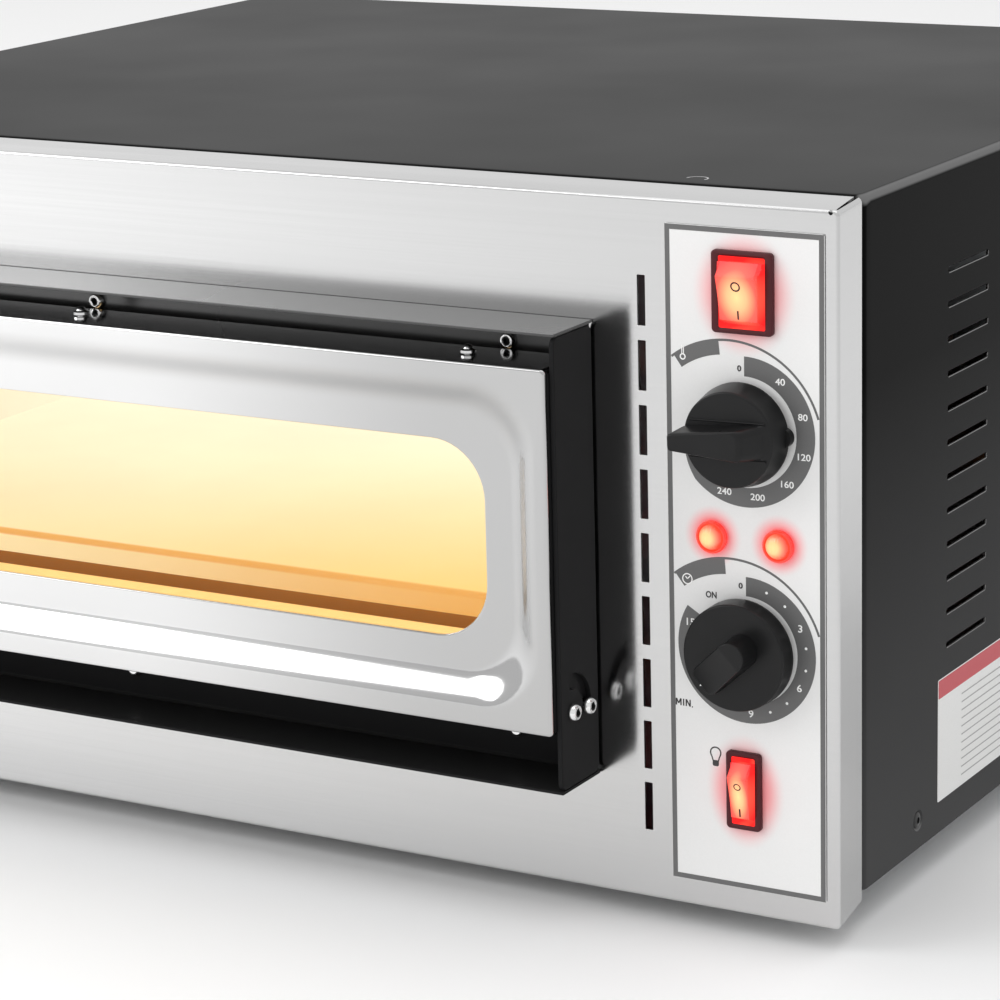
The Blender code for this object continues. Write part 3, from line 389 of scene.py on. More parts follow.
def clear_glass(name, tint=(0.97, 0.98, 0.97)):
    made = Finish(name, tint, 0.02, IOR=1.15, Transmission_Weight=1.0)
    smear = made.noise(60.0, detail=2.0)
    made.set("Roughness", made.span(smear, 0.0, 0.03))
    return made.material


def bright_screw():
    """Turned stainless steel with fine circular tool marks."""
    made = Finish("screw_steel", (0.82, 0.82, 0.82), 0.16, 1.0)
    marks = made.noise(2200.0, detail=2.0)
    made.set("Roughness", made.span(marks, 0.10, 0.24))
    made.bump(marks, 0.006, 0.4)
    return made.material


def galvanised():
    """Zinc-coated sheet with its spangle."""
    made = Finish("galvanised_steel", (0.52, 0.54, 0.56), 0.45, 1.0)
    spangle = made.cells(55.0, output="Color")
    grey = made.node("ShaderNodeRGBToBW", {0: spangle}).outputs[0]
    made.set("Base Color", made.mix(grey, (0.46, 0.48, 0.50), (0.62, 0.64, 0.66)))
    made.set("Roughness", made.span(grey, 0.34, 0.55))
    return made.material


def lagging():
    """Mineral wool: matted fibres."""
    made = Finish("mineral_wool", (0.78, 0.74, 0.58), 0.95)
    fibres = made.noise(1.0, (260, 900, 900), 5.0, 0.75)
    made.set("Base Color", made.mix(fibres, (0.62, 0.58, 0.42), (0.88, 0.85, 0.70)))
    made.bump(fibres, 1.2, 0.9)
    return made.material


def rubber():
    made = Finish("rubber", (0.025, 0.025, 0.025), 0.8)
    dust = made.noise(300.0, detail=3.0)
    made.set("Base Color", made.mix(dust, (0.018, 0.018, 0.018), (0.045, 0.044, 0.042)))
    made.bump(dust, 0.03, 0.6)
    return made.material


def heater_sheath():
    """Heating element's sheath, oxidised in dull bands."""
    made = Finish("heater_steel", (0.20, 0.17, 0.15), 0.5, 0.9)
    oxide = made.noise(140.0, detail=3.0)
    made.set("Base Color", made.mix(oxide, (0.16, 0.13, 0.11), (0.36, 0.29, 0.24)))
    made.glow((1.0, 0.32, 0.06), made.span(oxide, 0.25, 0.5))
    return made.material


def copper():
    made = Finish("copper", (0.72, 0.40, 0.25), 0.35, 1.0)
    tarnish = made.noise(240.0, detail=3.0)
    made.set("Base Color", made.mix(tarnish, (0.74, 0.42, 0.27), (0.42, 0.24, 0.16)))
    return made.material


def lit_lens(name, place_at, reach, stops, strength, ribs=None):
    """Red lens lit from inside: palest over its lamp, deep red at its edges."""
    made = Finish(name, (0.30, 0.008, 0.006), 0.14, Coat_Weight=0.4, Coat_Roughness=0.06)
    away = made.away(place_at, tuple(1 / r / MM for r in reach))
    made.glow(made.ramp(away, stops), strength)
    if ribs:
        wave = made.node("ShaderNodeTexWave", {"Vector": made.point(), "Scale": ribs, "Detail": 1.0})
        made.bump(wave.outputs["Fac"], 0.2, 0.6)
    return made.material


def fascia_film(painted_halos):
    """Printed polyester film: pale grey, finely textured, with the lamps' red light painted round them as a
    pink tint of its colour.
    """
    made = Finish("fascia_film", (0.80, 0.80, 0.795), 0.38)
    fine = made.noise(1500.0, detail=2.0)
    made.bump(fine, 0.008, 0.5)
    colour = made.mix(fine, (0.78, 0.78, 0.775), (0.82, 0.82, 0.815))
    # Painted light: round each lamp the film's colour turns pink.
    for place_at, reach in painted_halos:
        away = made.away(place_at, tuple(1 / r / MM for r in reach))
        share = made.span(away, 1.0, 0.0, 0.42, 1.0, smooth=True)
        colour = made.mix(share, colour, (0.96, 0.30, 0.32))
    made.set("Base Color", colour)
    return made.material


def ink(name, colour, rough=0.45):
    """Screen-printed ink."""
    made = Finish(name, colour, rough)
    pin = made.noise(2400.0, detail=2.0)
    lighter = tuple(min(1.0, c * 1.15) for c in colour)
    made.set("Base Color", made.mix(pin, colour, lighter))
    made.bump(pin, 0.004, 0.4)
    return made.material


def studio_floor():
    made = Finish("studio_floor", (0.91, 0.91, 0.91), 0.6)
    shade = made.noise(1.5, detail=2.0)
    made.set("Base Color", made.mix(shade, (0.90, 0.90, 0.90), (0.92, 0.92, 0.92)))
    return made.material


# ---- shapes ---------------------------------------------------------------------------------
def mesh_piece(name, bm, finish):
    """A named object from a bmesh, its normals facing out."""
    bmesh.ops.recalc_face_normals(bm, faces=bm.faces)
    mesh = bpy.data.meshes.new(name)
    bm.to_mesh(mesh)
    bm.free()
    made = bpy.data.objects.new(name, mesh)
    bpy.context.scene.collection.objects.link(made)
    if finish:
        mesh.materials.append(finish)
    return made


def smooth(piece, angle=35.0):
    piece.data.shade_smooth()
    piece.data.set_sharp_from_angle(angle=math.radians(angle))
    return piece


def flatten(piece, width=3.0):
    """Shade a piece's broad faces flat, so that only its narrow bends stay smooth."""
    points = piece.data.vertices
    for face in piece.data.polygons:
        longest = max((points[a].co - points[b].co).length for a, b in face.edge_keys)
        if face.area / longest > width * MM:
            face.use_smooth = False
    return piece


def soften(piece, width, segments=2, angle=35.0):
    """Round a piece's edges a little, as bent or moulded edges are."""
    bevel = piece.modifiers.new("edges", "BEVEL")
    bevel.width = width * MM
    bevel.segments = segments
    bevel.limit_method = "ANGLE"
    bevel.angle_limit = math.radians(angle)
    bevel.harden_normals = True
    return piece


def place(axis, point, along):
    """A point of an outline, at a distance along the axis that the outline is pushed along."""
    first, second = point
    if axis == "X":
        return Vector((X(along), Y(first), Z(second)))
    if axis == "Y":
        return Vector((X(first), Y(along), Z(second)))
    return Vector((X(first), Y(second), Z(along)))


def skin_loops(name, finish, axis, loops, closed=False):
    """One solid through a row of outlines with equally many points; open ends are capped."""
    bm = bmesh.new()
    rings = [[bm.verts.new(place(axis, point, along)) for point in outline] for outline, along in loops]
    bridge(bm, rings, closed)
    return mesh_piece(name, bm, finish)


def bridge(bm, rings, closed):
    """Faces between neighbouring rings of vertices; the two end rings are joined too, or else capped."""
    pairs = list(zip(rings, rings[1:]))
    if closed:
        pairs.append((rings[-1], rings[0]))
    for near, far in pairs:
        for i in range(len(near)):
            j = (i + 1) % len(near)
            bm.faces.new((near[i], near[j], far[j], far[i]))
    if not closed:
        bm.faces.new(rings[0])
        bm.faces.new(rings[-1])


def prism(name, finish, axis, outline, start, end):
    return skin_loops(name, finish, axis, [(outline, start), (outline, end)])


def quarter(centre, radius, start, steps):
    """Points of a quarter circle that starts at an angle in degrees."""
    turns = [math.radians(start + 90 * step / steps) for step in range(steps + 1)]
    return [(centre[0] + radius * math.cos(t), centre[1] + radius * math.sin(t)) for t in turns]


def rectangle(low_u, high_u, low_v, high_v, radius=0.0, steps=CORNER_STEPS):
    """A rectangle's outline, with round corners where a radius is given."""
    if radius <= 0:
        return [(low_u, low_v), (high_u, low_v), (high_u, high_v), (low_u, high_v)]
    centres = (
        (high_u - radius, high_v - radius, 0), (low_u + radius, high_v - radius, 90),
        (low_u + radius, low_v + radius, 180), (high_u - radius, low_v + radius, 270))
    points = []
    for centre_u, centre_v, start in centres:
        points += quarter((centre_u, centre_v), radius, start, steps)
    return points


def grow(box, amount):
    return (box[0] - amount, box[1] + amount, box[2] - amount, box[3] + amount)


def circle(centre, radius, segments=ROUND_SEGMENTS, turn=0.0):
    angles = [math.radians(turn) + 2 * math.pi * i / segments for i in range(segments)]
    return [(centre[0] + radius * math.cos(a), centre[1] + radius * math.sin(a)) for a in angles]


def rounded(face, radius, back=1, steps=5):
    """(inset, along) pairs that round an edge from a side wall onto a face; back points into the piece."""
    turns = [math.radians(90 * step / steps) for step in range(steps + 1)]
    return [(radius * (1 - math.cos(t)), face + back * radius * (1 - math.sin(t))) for t in turns]


def turned(name, finish, axis, centre, profile, segments=ROUND_SEGMENTS, closed=False):
    """A turned piece: its profile is a row of (distance along the axis, radius)."""
    loops = [(circle(centre, radius, segments), along) for along, radius in profile]
    return smooth(skin_loops(name, finish, axis, loops, closed))


def rims(box, corner, steps, places, pull=1.0):
    """Loops of a box drawn in by each (inset, along) pair, its corners tightening as it goes."""
    return [(rectangle(*grow(box, -inset), corner - inset * pull, steps), along) for inset, along in places]


def plate(name, finish, axis, box, start, end, corner=1.0, edge=0.3, steps=4):
    """A slab whose outline has round corners and whose two faces have rounded edges."""
    loops = [(rectangle(*grow(box, -inset), corner - min(inset, corner - 0.05), steps), along)
             for inset, along in reversed(rounded(start, edge, 1, 3))]
    loops += [(rectangle(*grow(box, -inset), corner - min(inset, corner - 0.05), steps), along)
              for inset, along in rounded(end, edge, -1, 3)]
    return smooth(skin_loops(name, finish, axis, loops), 50)


def combine(piece, others, operation):
    """Add or remove other solids, which are used up."""
    for other in others:
        modifier = piece.modifiers.new(operation.lower(), "BOOLEAN")
        modifier.operation = operation
        modifier.solver = "EXACT"
        modifier.object = other
    bpy.context.view_layer.update()
    result = bpy.data.meshes.new_from_object(piece.evaluated_get(bpy.context.evaluated_depsgraph_get()))
    old_mesh = piece.data
    piece.modifiers.clear()
    piece.data = result
    result.name = piece.name
    bpy.data.meshes.remove(old_mesh)
    for other in others:
        bpy.data.objects.remove(other)
    return piece


def cutter(shape, *details, **more):
    return shape("cutter", None, *details, **more)


def joined(name, pieces, finish=None):
    """Several pieces made into one object; a finish given here covers them all."""
    bm = bmesh.new()
    for piece in pieces:
        piece.data.transform(piece.matrix_world)
        bm.from_mesh(piece.data)
    mesh = bpy.data.meshes.new(name)
    bm.to_mesh(mesh)
    bm.free()
    mesh.materials.append(finish or pieces[0].data.materials[0])
    for piece in pieces:
        bpy.data.objects.remove(piece)
    made = bpy.data.objects.new(name, mesh)
    bpy.context.scene.collection.objects.link(made)
    return made


def cut(piece, cutters):
    """Remove cutters that stand clear of each other."""
    bm = bmesh.new()
    for one in cutters:
        bm.from_mesh(one.data)
        bpy.data.objects.remove(one)
    return combine(piece, [mesh_piece("cutter", bm, None)], "DIFFERENCE")


def hole(axis, centre, radius, start, end, segments=32):
    return cutter(prism, axis, circle(centre, radius, segments), start, end)


def settle(piece, body, slot, *nodes):
    """Fix a piece to its body and hide the CAD nodes that it stands for; the slot is not used."""
    piece.modifiers.new("normals", "WEIGHTED_NORMAL").keep_sharp = True
    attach(piece, body)
    if nodes:
        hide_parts(*nodes)
    return piece


def swing(piece, centre, points_to, front):
    """Turn a control about its own axis, clockwise as seen from the front."""
    pivot = Vector((X(centre[0]), Y(front), Z(centre[1])))
    turn = Matrix.Rotation(math.radians(points_to), 4, "Y")
    piece.data.transform(Matrix.Translation(pivot) @ turn @ Matrix.Translation(-pivot))
    return piece


# ---- casing ---------------------------------------------------------------------------------
def tray_edges(face, depth, behind, inset=0.0):
    """Outline of the steel front at a depth, where its sides have closed in towards the casing."""
    closed_in = OVERHANG * behind / depth
    return grow((face[0] + closed_in, face[1] - closed_in, face[2], face[3]), -inset)


def tray_skin(face, depth, corner):
    """Loops of a tray: inside of its front, out round its rim, then over its bends to its face."""
    loops = [(rectangle(*tray_edges(face, depth, SHEET, SHEET), corner - 0.8), SHEET),
             (rectangle(*tray_edges(face, depth, depth, SHEET), corner - 0.8), depth),
             (rectangle(*tray_edges(face, depth, depth, 0.2), corner - 0.2), depth),
             (rectangle(*tray_edges(face, depth, depth - 0.2), corner), depth - 0.2)]
    for inset, along in rounded(0.0, FRONT_BEND):
        loops.append((rectangle(*tray_edges(face, depth, along, inset), corner - inset * 0.9), along))
    return loops


def control_cutouts(through):
    """Cutters for the spindles, the signal lamps and the two switches."""
    cuts = [hole("Y", middle(node)[::2], radius, *through)
            for node, radius in (("thermostat_spindle", SPINDLE_HOLE), ("timer_spindle", SPINDLE_HOLE),
                                 ("indicator_lamp_left", LAMP_HOLE), ("indicator_lamp_right", LAMP_HOLE))]
    for node in ("power_switch_body", "light_switch_body"):
        left, _, below = spans(node)
        level = sum(below) / 2
        opening = rectangle(left[0] + 1.2, left[1] - 1.2, level - SWITCH_OPENING / 2,
                            level + SWITCH_OPENING / 2)
        cuts.append(cutter(prism, "Y", opening, *through))
    return cuts


def corner_details(face, depth):
    """Seams between the folded edges, and the relief notch at each top corner of the face."""
    cuts = []
    for edge, inward in ((face[0], 1), (face[1], -1)):
        start_at, end_at = CORNER_SEAM["start"], depth + 1
        seam = []
        for behind, wide in ((start_at, CORNER_SEAM["wide"]), (end_at, 3.5 * CORNER_SEAM["wide"])):
            near = edge + inward * (OVERHANG * behind / depth + CORNER_SEAM["near"])
            far, deep = near + inward * wide, CORNER_SEAM["deep"]
            seam.append(([(near, -1.0), (far, -1.0), (far, deep), (near, deep)], behind))
        cuts.append(cutter(skin_loops, "Y", seam))
        notch = (edge + inward * CORNER_NOTCH["left"], CORNER_NOTCH["below"])
        cuts.append(hole("Y", notch, CORNER_NOTCH["radius"], -1, 1.6))
    return cuts


def steel_front(finish):
    """Brushed tray with rounded folds, square slits and a seam at each top corner."""
    left, behind, below = spans("front_panel")
    face = (*left, *below)
    panel = skin_loops("steel_front", finish, "Y", tray_skin(face, behind[1], 2.2))
    through = (-3, 4)
    cuts = [cutter(prism, "Y", rectangle(*MOUTH, 3), *through)]
    for i in range(SLITS["count"]):
        top = SLITS["first"] + i * SLITS["pitch"]
        outline = rectangle(SLITS["near"], SLITS["far"], top, top + SLITS["tall"], 0.35, 2)
        cuts.append(cutter(prism, "Y", outline, *through))
    cuts += control_cutouts(through) + corner_details(face, behind[1])
    settle(flatten(smooth(cut(panel, cuts), 25)), "casing", "brushed_steel", "front_panel")


def u_outline(low, high, top, bottom, thick, radius, steps=8):
    """The section of a sheet folded down over both sides of the oven."""
    outer, inner = [(low, bottom)], [(low + thick, bottom)]
    for centre_u, start in ((low + radius, 180), (high - radius, 270)):
        outer += quarter((centre_u, top + radius), radius, start, steps)
        inner += quarter((centre_u, top + radius), radius - thick, start, steps)
    outer.append((high, bottom))
    inner.append((high - thick, bottom))
    return outer + inner[::-1]


def cover_sides():
    """The cover's two side faces: (name, place, which way is inward)."""
    right, left = spans("outer_cover")[0]
    return (("right", right, 1), ("left", left, -1))


def louvre(number):
    """A louvre's extents behind the steel front and below the top, as two (low, high) pairs."""
    bottom = LOUVRES["first"] + number * LOUVRES["pitch"]
    return (LOUVRES["front"], LOUVRES["back"]), (bottom - LOUVRES["tall"], bottom)


def chamfered_slot(span_v, span_w, surface, inward):
    """A punched slot's cutter, wider where the punch broke the surface's edge."""
    loops = [(rectangle(*span_v, *span_w, 0.9, 4), surface + inward * 6),
             (rectangle(*span_v, *span_w, 0.9, 4), surface + inward * 0.35),
             (rectangle(*grow((*span_v, *span_w), 0.3), 1.1, 4), surface - inward * 0.02),
             (rectangle(*grow((*span_v, *span_w), 0.3), 1.1, 4), surface - inward * 3)]
    return cutter(skin_loops, "X", loops)


def casing_cover(finish):
    """Black sheet over the top and both sides; its front edge curls in behind the steel front."""
    left, behind, below = spans("outer_cover")
    loops = []
    for inset, along in reversed(rounded(behind[0], COVER_LIP, 1, 6)):
        section = u_outline(left[0] + inset, left[1] - inset, below[0] + inset, below[1], SHEET,
                            COVER_BEND + 1.2)
        loops.append((section, along))
    flat = u_outline(*left, *below, SHEET, COVER_BEND)
    loops += [(flat, behind[0] + 2 * COVER_LIP), (flat, behind[1])]
    cover = skin_loops("casing_cover", finish, "Y", loops)
    cuts = [chamfered_slot(*louvre(number), surface, inward)
            for number in range(LOUVRES["count"]) for _, surface, inward in cover_sides()]
    cuts += [screw_dimple(place_behind, surface, inward)
             for place_behind in SIDE_SCREWS for _, surface, inward in cover_sides()]
    settle(smooth(cut(cover, cuts), 22), "casing", "black_paint", "outer_cover")


def louvre_edges(finish):
    """Painted highlight: pale grey strips along the lower and rear edges of the punched louvres, where their
    cut edges catch the light.
    """
    for name, surface, inward in cover_sides():
        edges = []
        for number in range(LOUVRES["count"]):
            (front, back), (top, bottom) = louvre(number)
            outline = [(front + 0.8, bottom + 0.28), (back, bottom + 0.28), (back + 0.28, bottom),
                       (back + 0.28, top), (back - 0.05, top), (back - 0.05, bottom - 0.3),
                       (back - 0.3, bottom - 0.05), (front + 0.8, bottom - 0.05)]
            edges.append(prism("edge", finish, "X", outline,
                               *sorted((surface + inward * 0.04, surface + inward * 0.4))))
        settle(joined("louvre_edges_" + name, edges), "casing", None)


def screw_dimple(behind, surface, inward):
    """The shallow countersink that a casing screw's head sits in."""
    centre = (behind, SIDE_SCREW_LEVEL)
    loops = [(circle(centre, 4.6, 32), surface - inward * 1), (circle(centre, 4.4, 32), surface),
             (circle(centre, 3.4, 32), surface + inward * 0.75)]
    return cutter(skin_loops, "X", loops)


def casing_screws(finish):
    """Black screws, level with the cover, along the bottom of each side."""
    for side, surface, inward in cover_sides():
        for number, behind in enumerate(SIDE_SCREWS):
            seat = surface + inward * 0.9
            profile = [(seat, 3.3), (seat - inward * 0.5, 3.25), (seat - inward * 0.9, 2.6),
                       (seat - inward * 1.05, 1.2)]
            centre = (behind, SIDE_SCREW_LEVEL)
            screw = turned(f"casing_screw_{side}_{number}", finish, "X", centre, profile, 32)
            socket = cutter(prism, "X", circle(centre, 1.5, 6),
                            *sorted((seat - inward * 0.3, seat - inward * 3)))
            combine(screw, [socket], "DIFFERENCE")
            settle(smooth(screw, 30), "casing", "black_paint")


def rear_panel(finish, screw_finish):
    """Flat rear sheet with a vent field, the cable hole and its fixing screws."""
    left, behind, below = spans("back_panel")
    panel = plate("rear_panel", finish, "Y", (*left, *below), *behind, 1.0, 0.25)
    through = (behind[0] - 3, behind[1] + 3)
    cuts = [hole("Y", middle("cable_gland")[::2], 6.3, *through)]
    for row in range(BACK_VENTS["count"]):
        top = BACK_VENTS["first"] + row * BACK_VENTS["pitch"]
        vent = rectangle(BACK_VENTS["near"], BACK_VENTS["far"], top, top + BACK_VENTS["tall"], 1.95, 5)
        cuts.append(cutter(prism, "Y", vent, *through))
    settle(smooth(cut(panel, cuts), 40), "casing", "black_paint", "back_panel")
    edge = 9.0
    columns = [left[0] + edge, (left[0] + left[1]) / 2, left[1] - edge]
    for i, across in enumerate(columns):
        for j, level in enumerate((below[0] + edge, below[1] - edge)):
            seat = behind[1]
            profile = [(seat + 1.9, 1.3), (seat + 1.5, 2.6), (seat, 3.4), (seat - 0.4, 3.4)]
            screw = turned(f"rear_screw_{i}_{j}", screw_finish, "Y", (across, level), profile, 32)
            slots = [cutter(prism, "Y", rectangle(across - wide, across + wide, level - tall, level + tall),
                            seat + 1.0, seat + 4) for wide, tall in ((1.9, 0.4), (0.4, 1.9))]
            combine(screw, slots, "DIFFERENCE")
            settle(smooth(screw, 30), "casing", "screw_steel")


def gland_and_feet(plastic, grip):
    """Cable gland with a hexagonal nut, and the four turned rubber feet."""
    centre = middle("cable_gland")[::2]
    start, end = spans("cable_gland")[1]
    seat = spans("back_panel")[1][1]
    profile = [(end, 5.2), (end - 0.5, 6.2), (end - 1.6, 7.3), (end - 5.4, 8.0), (seat + 3.6, 8.1),
               (seat + 3.4, 9.3), (seat + 0.4, 9.5), (seat + GAP, 9.0), (seat + GAP, 5.9), (start, 5.9),
               (start, 4.6), (end - 0.6, 4.6)]
    gland = turned("cable_gland_body", plastic, "Y", centre, profile, closed=True)
    grooves = [hole("Y", (centre[0] + 8.6 * math.cos(math.radians(a)),
                          centre[1] + 8.6 * math.sin(math.radians(a))),
                    0.9, seat + 4.6, end - 2.4, 12) for a in range(0, 360, 30)]
    settle(smooth(cut(gland, grooves), 40), "casing", "black_plastic", "cable_gland")
    for name in ("front_right", "front_left", "back_right", "back_left"):
        node = "foot_" + name
        top, bottom = spans(node)[2]
        seat = spans("outer_cover")[2][1] + GAP
        profile = [(bottom, 9.6), (bottom - 0.4, 10.6), (bottom - 3.0, 11.6), (bottom - 3.4, 12.4),
                   (bottom - 6.0, 13.2), (seat + 0.8, 14.6), (seat, 14.2), (seat, 1.9), (top, 1.9)]
        settle(turned("rubber_" + node, grip, "Z", middle(node)[:2], profile), "casing", "rubber", node)


def side_label(white, band, grey):
    """Blank rating plate on the right side: white, with a plain coloured band and ruled lines."""
    surface = spans("outer_cover")[0][0]
    box = (LABEL["front"], LABEL["back"], LABEL["top"], LABEL["bottom"])
    face = surface - LABEL["thick"]
    settle(plate("side_label", white, "X", box, face, surface + 0.02, 0.8, 0.05), "casing", None)
    outline = rectangle(box[0] + 0.4, box[1] - 0.4, box[2] + 0.4, box[2] + LABEL["band"], 0.5, 3)
    settle(prism("side_label_band", band, "X", outline, face - 0.03, face), "casing", None)
    rules = []
    for row in range(LABEL_RULES["count"]):
        level = box[2] + LABEL_RULES["first"] + row * LABEL_RULES["pitch"]
        outline = rectangle(box[0] + 24, box[1] - 6 - 9 * (row % 3), level, level + LABEL_RULES["tall"])
        rules.append(prism("rule", grey, "X", outline, face - 0.03, face))
    settle(joined("side_label_rules", rules), "casing", None)


def deck_mark(finish):
    """Half-moon left by a knock-out in the top deck."""
    top = spans("outer_cover")[2][0]
    outline = []
    for radius, order in ((DECK_MARK["outer"], range(0, 13)), (DECK_MARK["inner"], range(12, -1, -1))):
        for step in order:
            angle = math.radians(200 - 200 * step / 12)
            outline.append((DECK_MARK["left"] + radius * math.cos(angle),
                            DECK_MARK["behind"] + radius * math.sin(angle)))
    settle(prism("deck_mark", finish, "Z", outline, top - 0.04, top + 0.1), "casing", None)


# ---- hood -----------------------------------------------------------------------------------
def hood_plate(name, node, finish):
    """The hood's top or bottom: outer plate, bend, and the rear flange behind the door."""
    left, behind, below = spans(node)
    top_plate = node == "hood_top"
    level, flange_end = (below[0], below[1]) if top_plate else (below[1], below[0])
    inward = 1 if top_plate else -1
    flat = level + inward * HOOD_SHEET
    front, flange_front = behind[0], -HOOD_SHEET - GAP
    section = [(front, level + inward * 0.25), (front + 0.25, level),
               (-GAP - 0.6, level), (-GAP, level + inward * 0.6),
               (-GAP, flange_end), (flange_front, flange_end), (flange_front, flat + inward * 1.0),
               (flange_front - 1.0, flat), (front + 0.25, flat), (front, flat - inward * 0.25)]
    made = prism(name, finish, "X", section, *left)
    trims = []
    for low, high in ((left[0] - 2, left[0] + HOOD_SIDE + GAP), (left[1] - HOOD_SIDE - GAP, left[1] + 2)):
        trims.append(cutter(prism, "Z", rectangle(low, high, flange_front - 5, 5),
                            *sorted((flat, flange_end + inward * 5))))
    settle(soften(smooth(cut(made, trims), 30), 0.15), "casing", "black_paint", node)


def around_pivot(pivot, radius, angle):
    """A point on a circle about the hinge; 0 degrees is straight back and 90 straight up."""
    turn = math.radians(angle)
    return (pivot[0] + radius * math.cos(turn), pivot[1] - radius * math.sin(turn))


def guide_slot(pivot, half_width=SLOT_HALF_WIDTH, steps=20):
    """Outline of the curved slot that the guide bolt travels in."""
    start, end = GUIDE_ANGLE, GUIDE_ANGLE + DOOR_TRAVEL
    sweep = [start + (end - start) * i / steps for i in range(steps + 1)]
    outline = [around_pivot(pivot, GUIDE_RADIUS + half_width, angle) for angle in sweep]
    outline += round_tip(around_pivot(pivot, GUIDE_RADIUS, end), half_width, end)
    outline += [around_pivot(pivot, GUIDE_RADIUS - half_width, angle) for angle in reversed(sweep)]
    outline += round_tip(around_pivot(pivot, GUIDE_RADIUS, start), half_width, start + 180)
    return outline


def round_tip(centre, radius, first, steps=8):
    turns = [math.radians(first + 180 * k / steps) for k in range(1, steps)]
    return [(centre[0] + radius * math.cos(t), centre[1] - radius * math.sin(t)) for t in turns]


def hood_side(name, node, finish):
    """The hood's side: rounded corners, the guide bolt's curved slot and the hinge hole."""
    left, behind, below = spans(node)
    right_hand = node.endswith("right")
    outer, inward = (left[0], 1) if right_hand else (left[1], -1)
    inner = outer + inward * HOOD_SIDE
    box = (behind[0], behind[1] - 0.9, *below)
    loops = rims(box, 3.2, 6, reversed(rounded(outer, 0.45, inward, 3)))
    loops += rims(box, 3.2, 6, rounded(inner, 0.3, -inward, 2))
    side = skin_loops(name, finish, "X", loops)
    pivot = middle("hinge_bolt_" + ("right" if right_hand else "left"))[1:]
    through = sorted((outer - inward * 4, inner + inward * 4))
    cut(side, [cutter(prism, "X", guide_slot(pivot), *through), hole("X", pivot, BOLT_HOLE, *through)])
    settle(smooth(side, 40), "casing", "black_paint", node)
    flange_reach = sorted((inner, inner + inward * 14))
    flange = plate(name + "_flange", finish, "Y", (*flange_reach, below[0] + 24.0, below[1] - 48.0),
                   -HOOD_SHEET - GAP, -GAP, 1.0, 0.2)
    settle(flange, "casing", "black_paint")


def button_head(name, finish, axis, centre, seat, out, radius, tall, shank, domed=False):
    """A button-head screw: bright rim round a socket painted near-black as painted shade, or a plain dome;
    shank is its (radius, length).
    """
    shank_radius, length = shank
    socket = 0.40 * radius
    profile = [(seat + out * tall * 0.96, 0.52 * radius), (seat + out * tall, 0.60 * radius),
               (seat + out * tall * 0.94, 0.76 * radius), (seat + out * tall * 0.74, 0.89 * radius),
               (seat + out * tall * 0.40, 0.97 * radius), (seat + out * tall * 0.12, radius),
               (seat, 0.98 * radius), (seat, shank_radius), (seat - out * length, shank_radius)]
    if domed:
        profile.insert(0, (seat + out * tall * 1.02, 0.2 * radius))
    screw = turned(name, finish, axis, centre, profile, 40)
    if domed:
        return smooth(screw, 30)
    ends = sorted((seat + out * 0.1 * tall, seat + out * (tall + 2)))
    combine(screw, [cutter(prism, axis, circle(centre, socket, 6), *ends)], "DIFFERENCE")
    # Painted shade: the socket's faces take the near-black socket_shade material.
    screw.data.materials.append(bpy.data.materials["socket_shade"])
    hub = place(axis, centre, seat)
    flat = Vector((axis != "X", axis != "Y", axis != "Z"))
    for face in screw.data.polygons:
        if ((face.center - hub) * flat).length < socket * 1.01 * MM:
            face.material_index = 1
    return smooth(screw, 30)


def hood_screws(finish):
    for row in ("top", "bottom"):
        for place_name in ACROSS:
            node = f"hood_screw_{row}_{place_name}"
            left, behind, below = spans(node)
            drop = 1.4 if row == "bottom" else 0.0
            centre = (sum(left) / 2, sum(below) / 2 + drop)
            seat = -HOOD_SHEET - 2 * GAP
            screw = button_head("cap_" + node, finish, "Y", centre, seat, -1, 3.4, min(2.4, seat - behind[0]),
                                (1.5, behind[1] - seat), domed=row == "bottom")
            settle(screw, "casing", "screw_steel", node)


# ---- door -----------------------------------------------------------------------------------
def pressed_step(start_box, end_box, start_radius, end_radius, start, end, steps=9):
    """Loops of an S-shaped step pressed into a sheet, from one outline to a smaller, deeper one."""
    loops = []
    for step in range(steps + 1):
        share = step / steps
        drop = share * share * (3 - 2 * share)
        box = tuple(a + (b - a) * share for a, b in zip(start_box, end_box))
        loops.append((rectangle(*box, start_radius + (end_radius - start_radius) * share, 12),
                      start + (end - start) * drop))
    return loops


def door_front(finish):
    """Polished skin of the door: folded back all round and pressed in towards the window."""
    left, behind, below = spans("door_skin")
    box = (*left, *below)
    face, hem = behind
    recess = face + EMBOSS_DEPTH
    outer = [(rectangle(*grow(box, -0.2), 1.6, 12), hem), (rectangle(*box, 1.8, 12), hem - 0.2)]
    outer += rims(box, 1.8, 12, rounded(face, DOOR_BEND), 0.6)
    step = pressed_step(EMBOSS_OUTER, EMBOSS_INNER, 25, 24, face, recess)
    bead = [(rectangle(*grow(WINDOW, 0.8), WINDOW_RADIUS, 12), recess),
            (rectangle(*grow(WINDOW, 0.2), WINDOW_RADIUS, 12), recess + 0.25),
            (rectangle(*WINDOW, WINDOW_RADIUS, 12), recess + 0.6),
            (rectangle(*WINDOW, WINDOW_RADIUS, 12), recess + SHEET)]
    back = [(outline, along + SHEET) for outline, along in reversed(step)]
    inside = [(rectangle(*grow(box, -SHEET), 0.9, 12), face + SHEET + 0.4),
              (rectangle(*grow(box, -SHEET), 0.9, 12), hem)]
    skin = skin_loops("door_front", finish, "Y", outer + step + bead + back + inside, closed=True)
    cuts = hinge_holes() + top_screw_holes(below[0], 4)
    settle(smooth(cut(skin, cuts), 28), "door", "polished_steel", "door_skin")


def top_screw_holes(top, reach):
    """Cutters for the screws in the door's top edge."""
    return [hole("Z", middle("door_screw_" + name)[:2], SCREW_HOLE, top - 3, top + reach)
            for name in ACROSS]


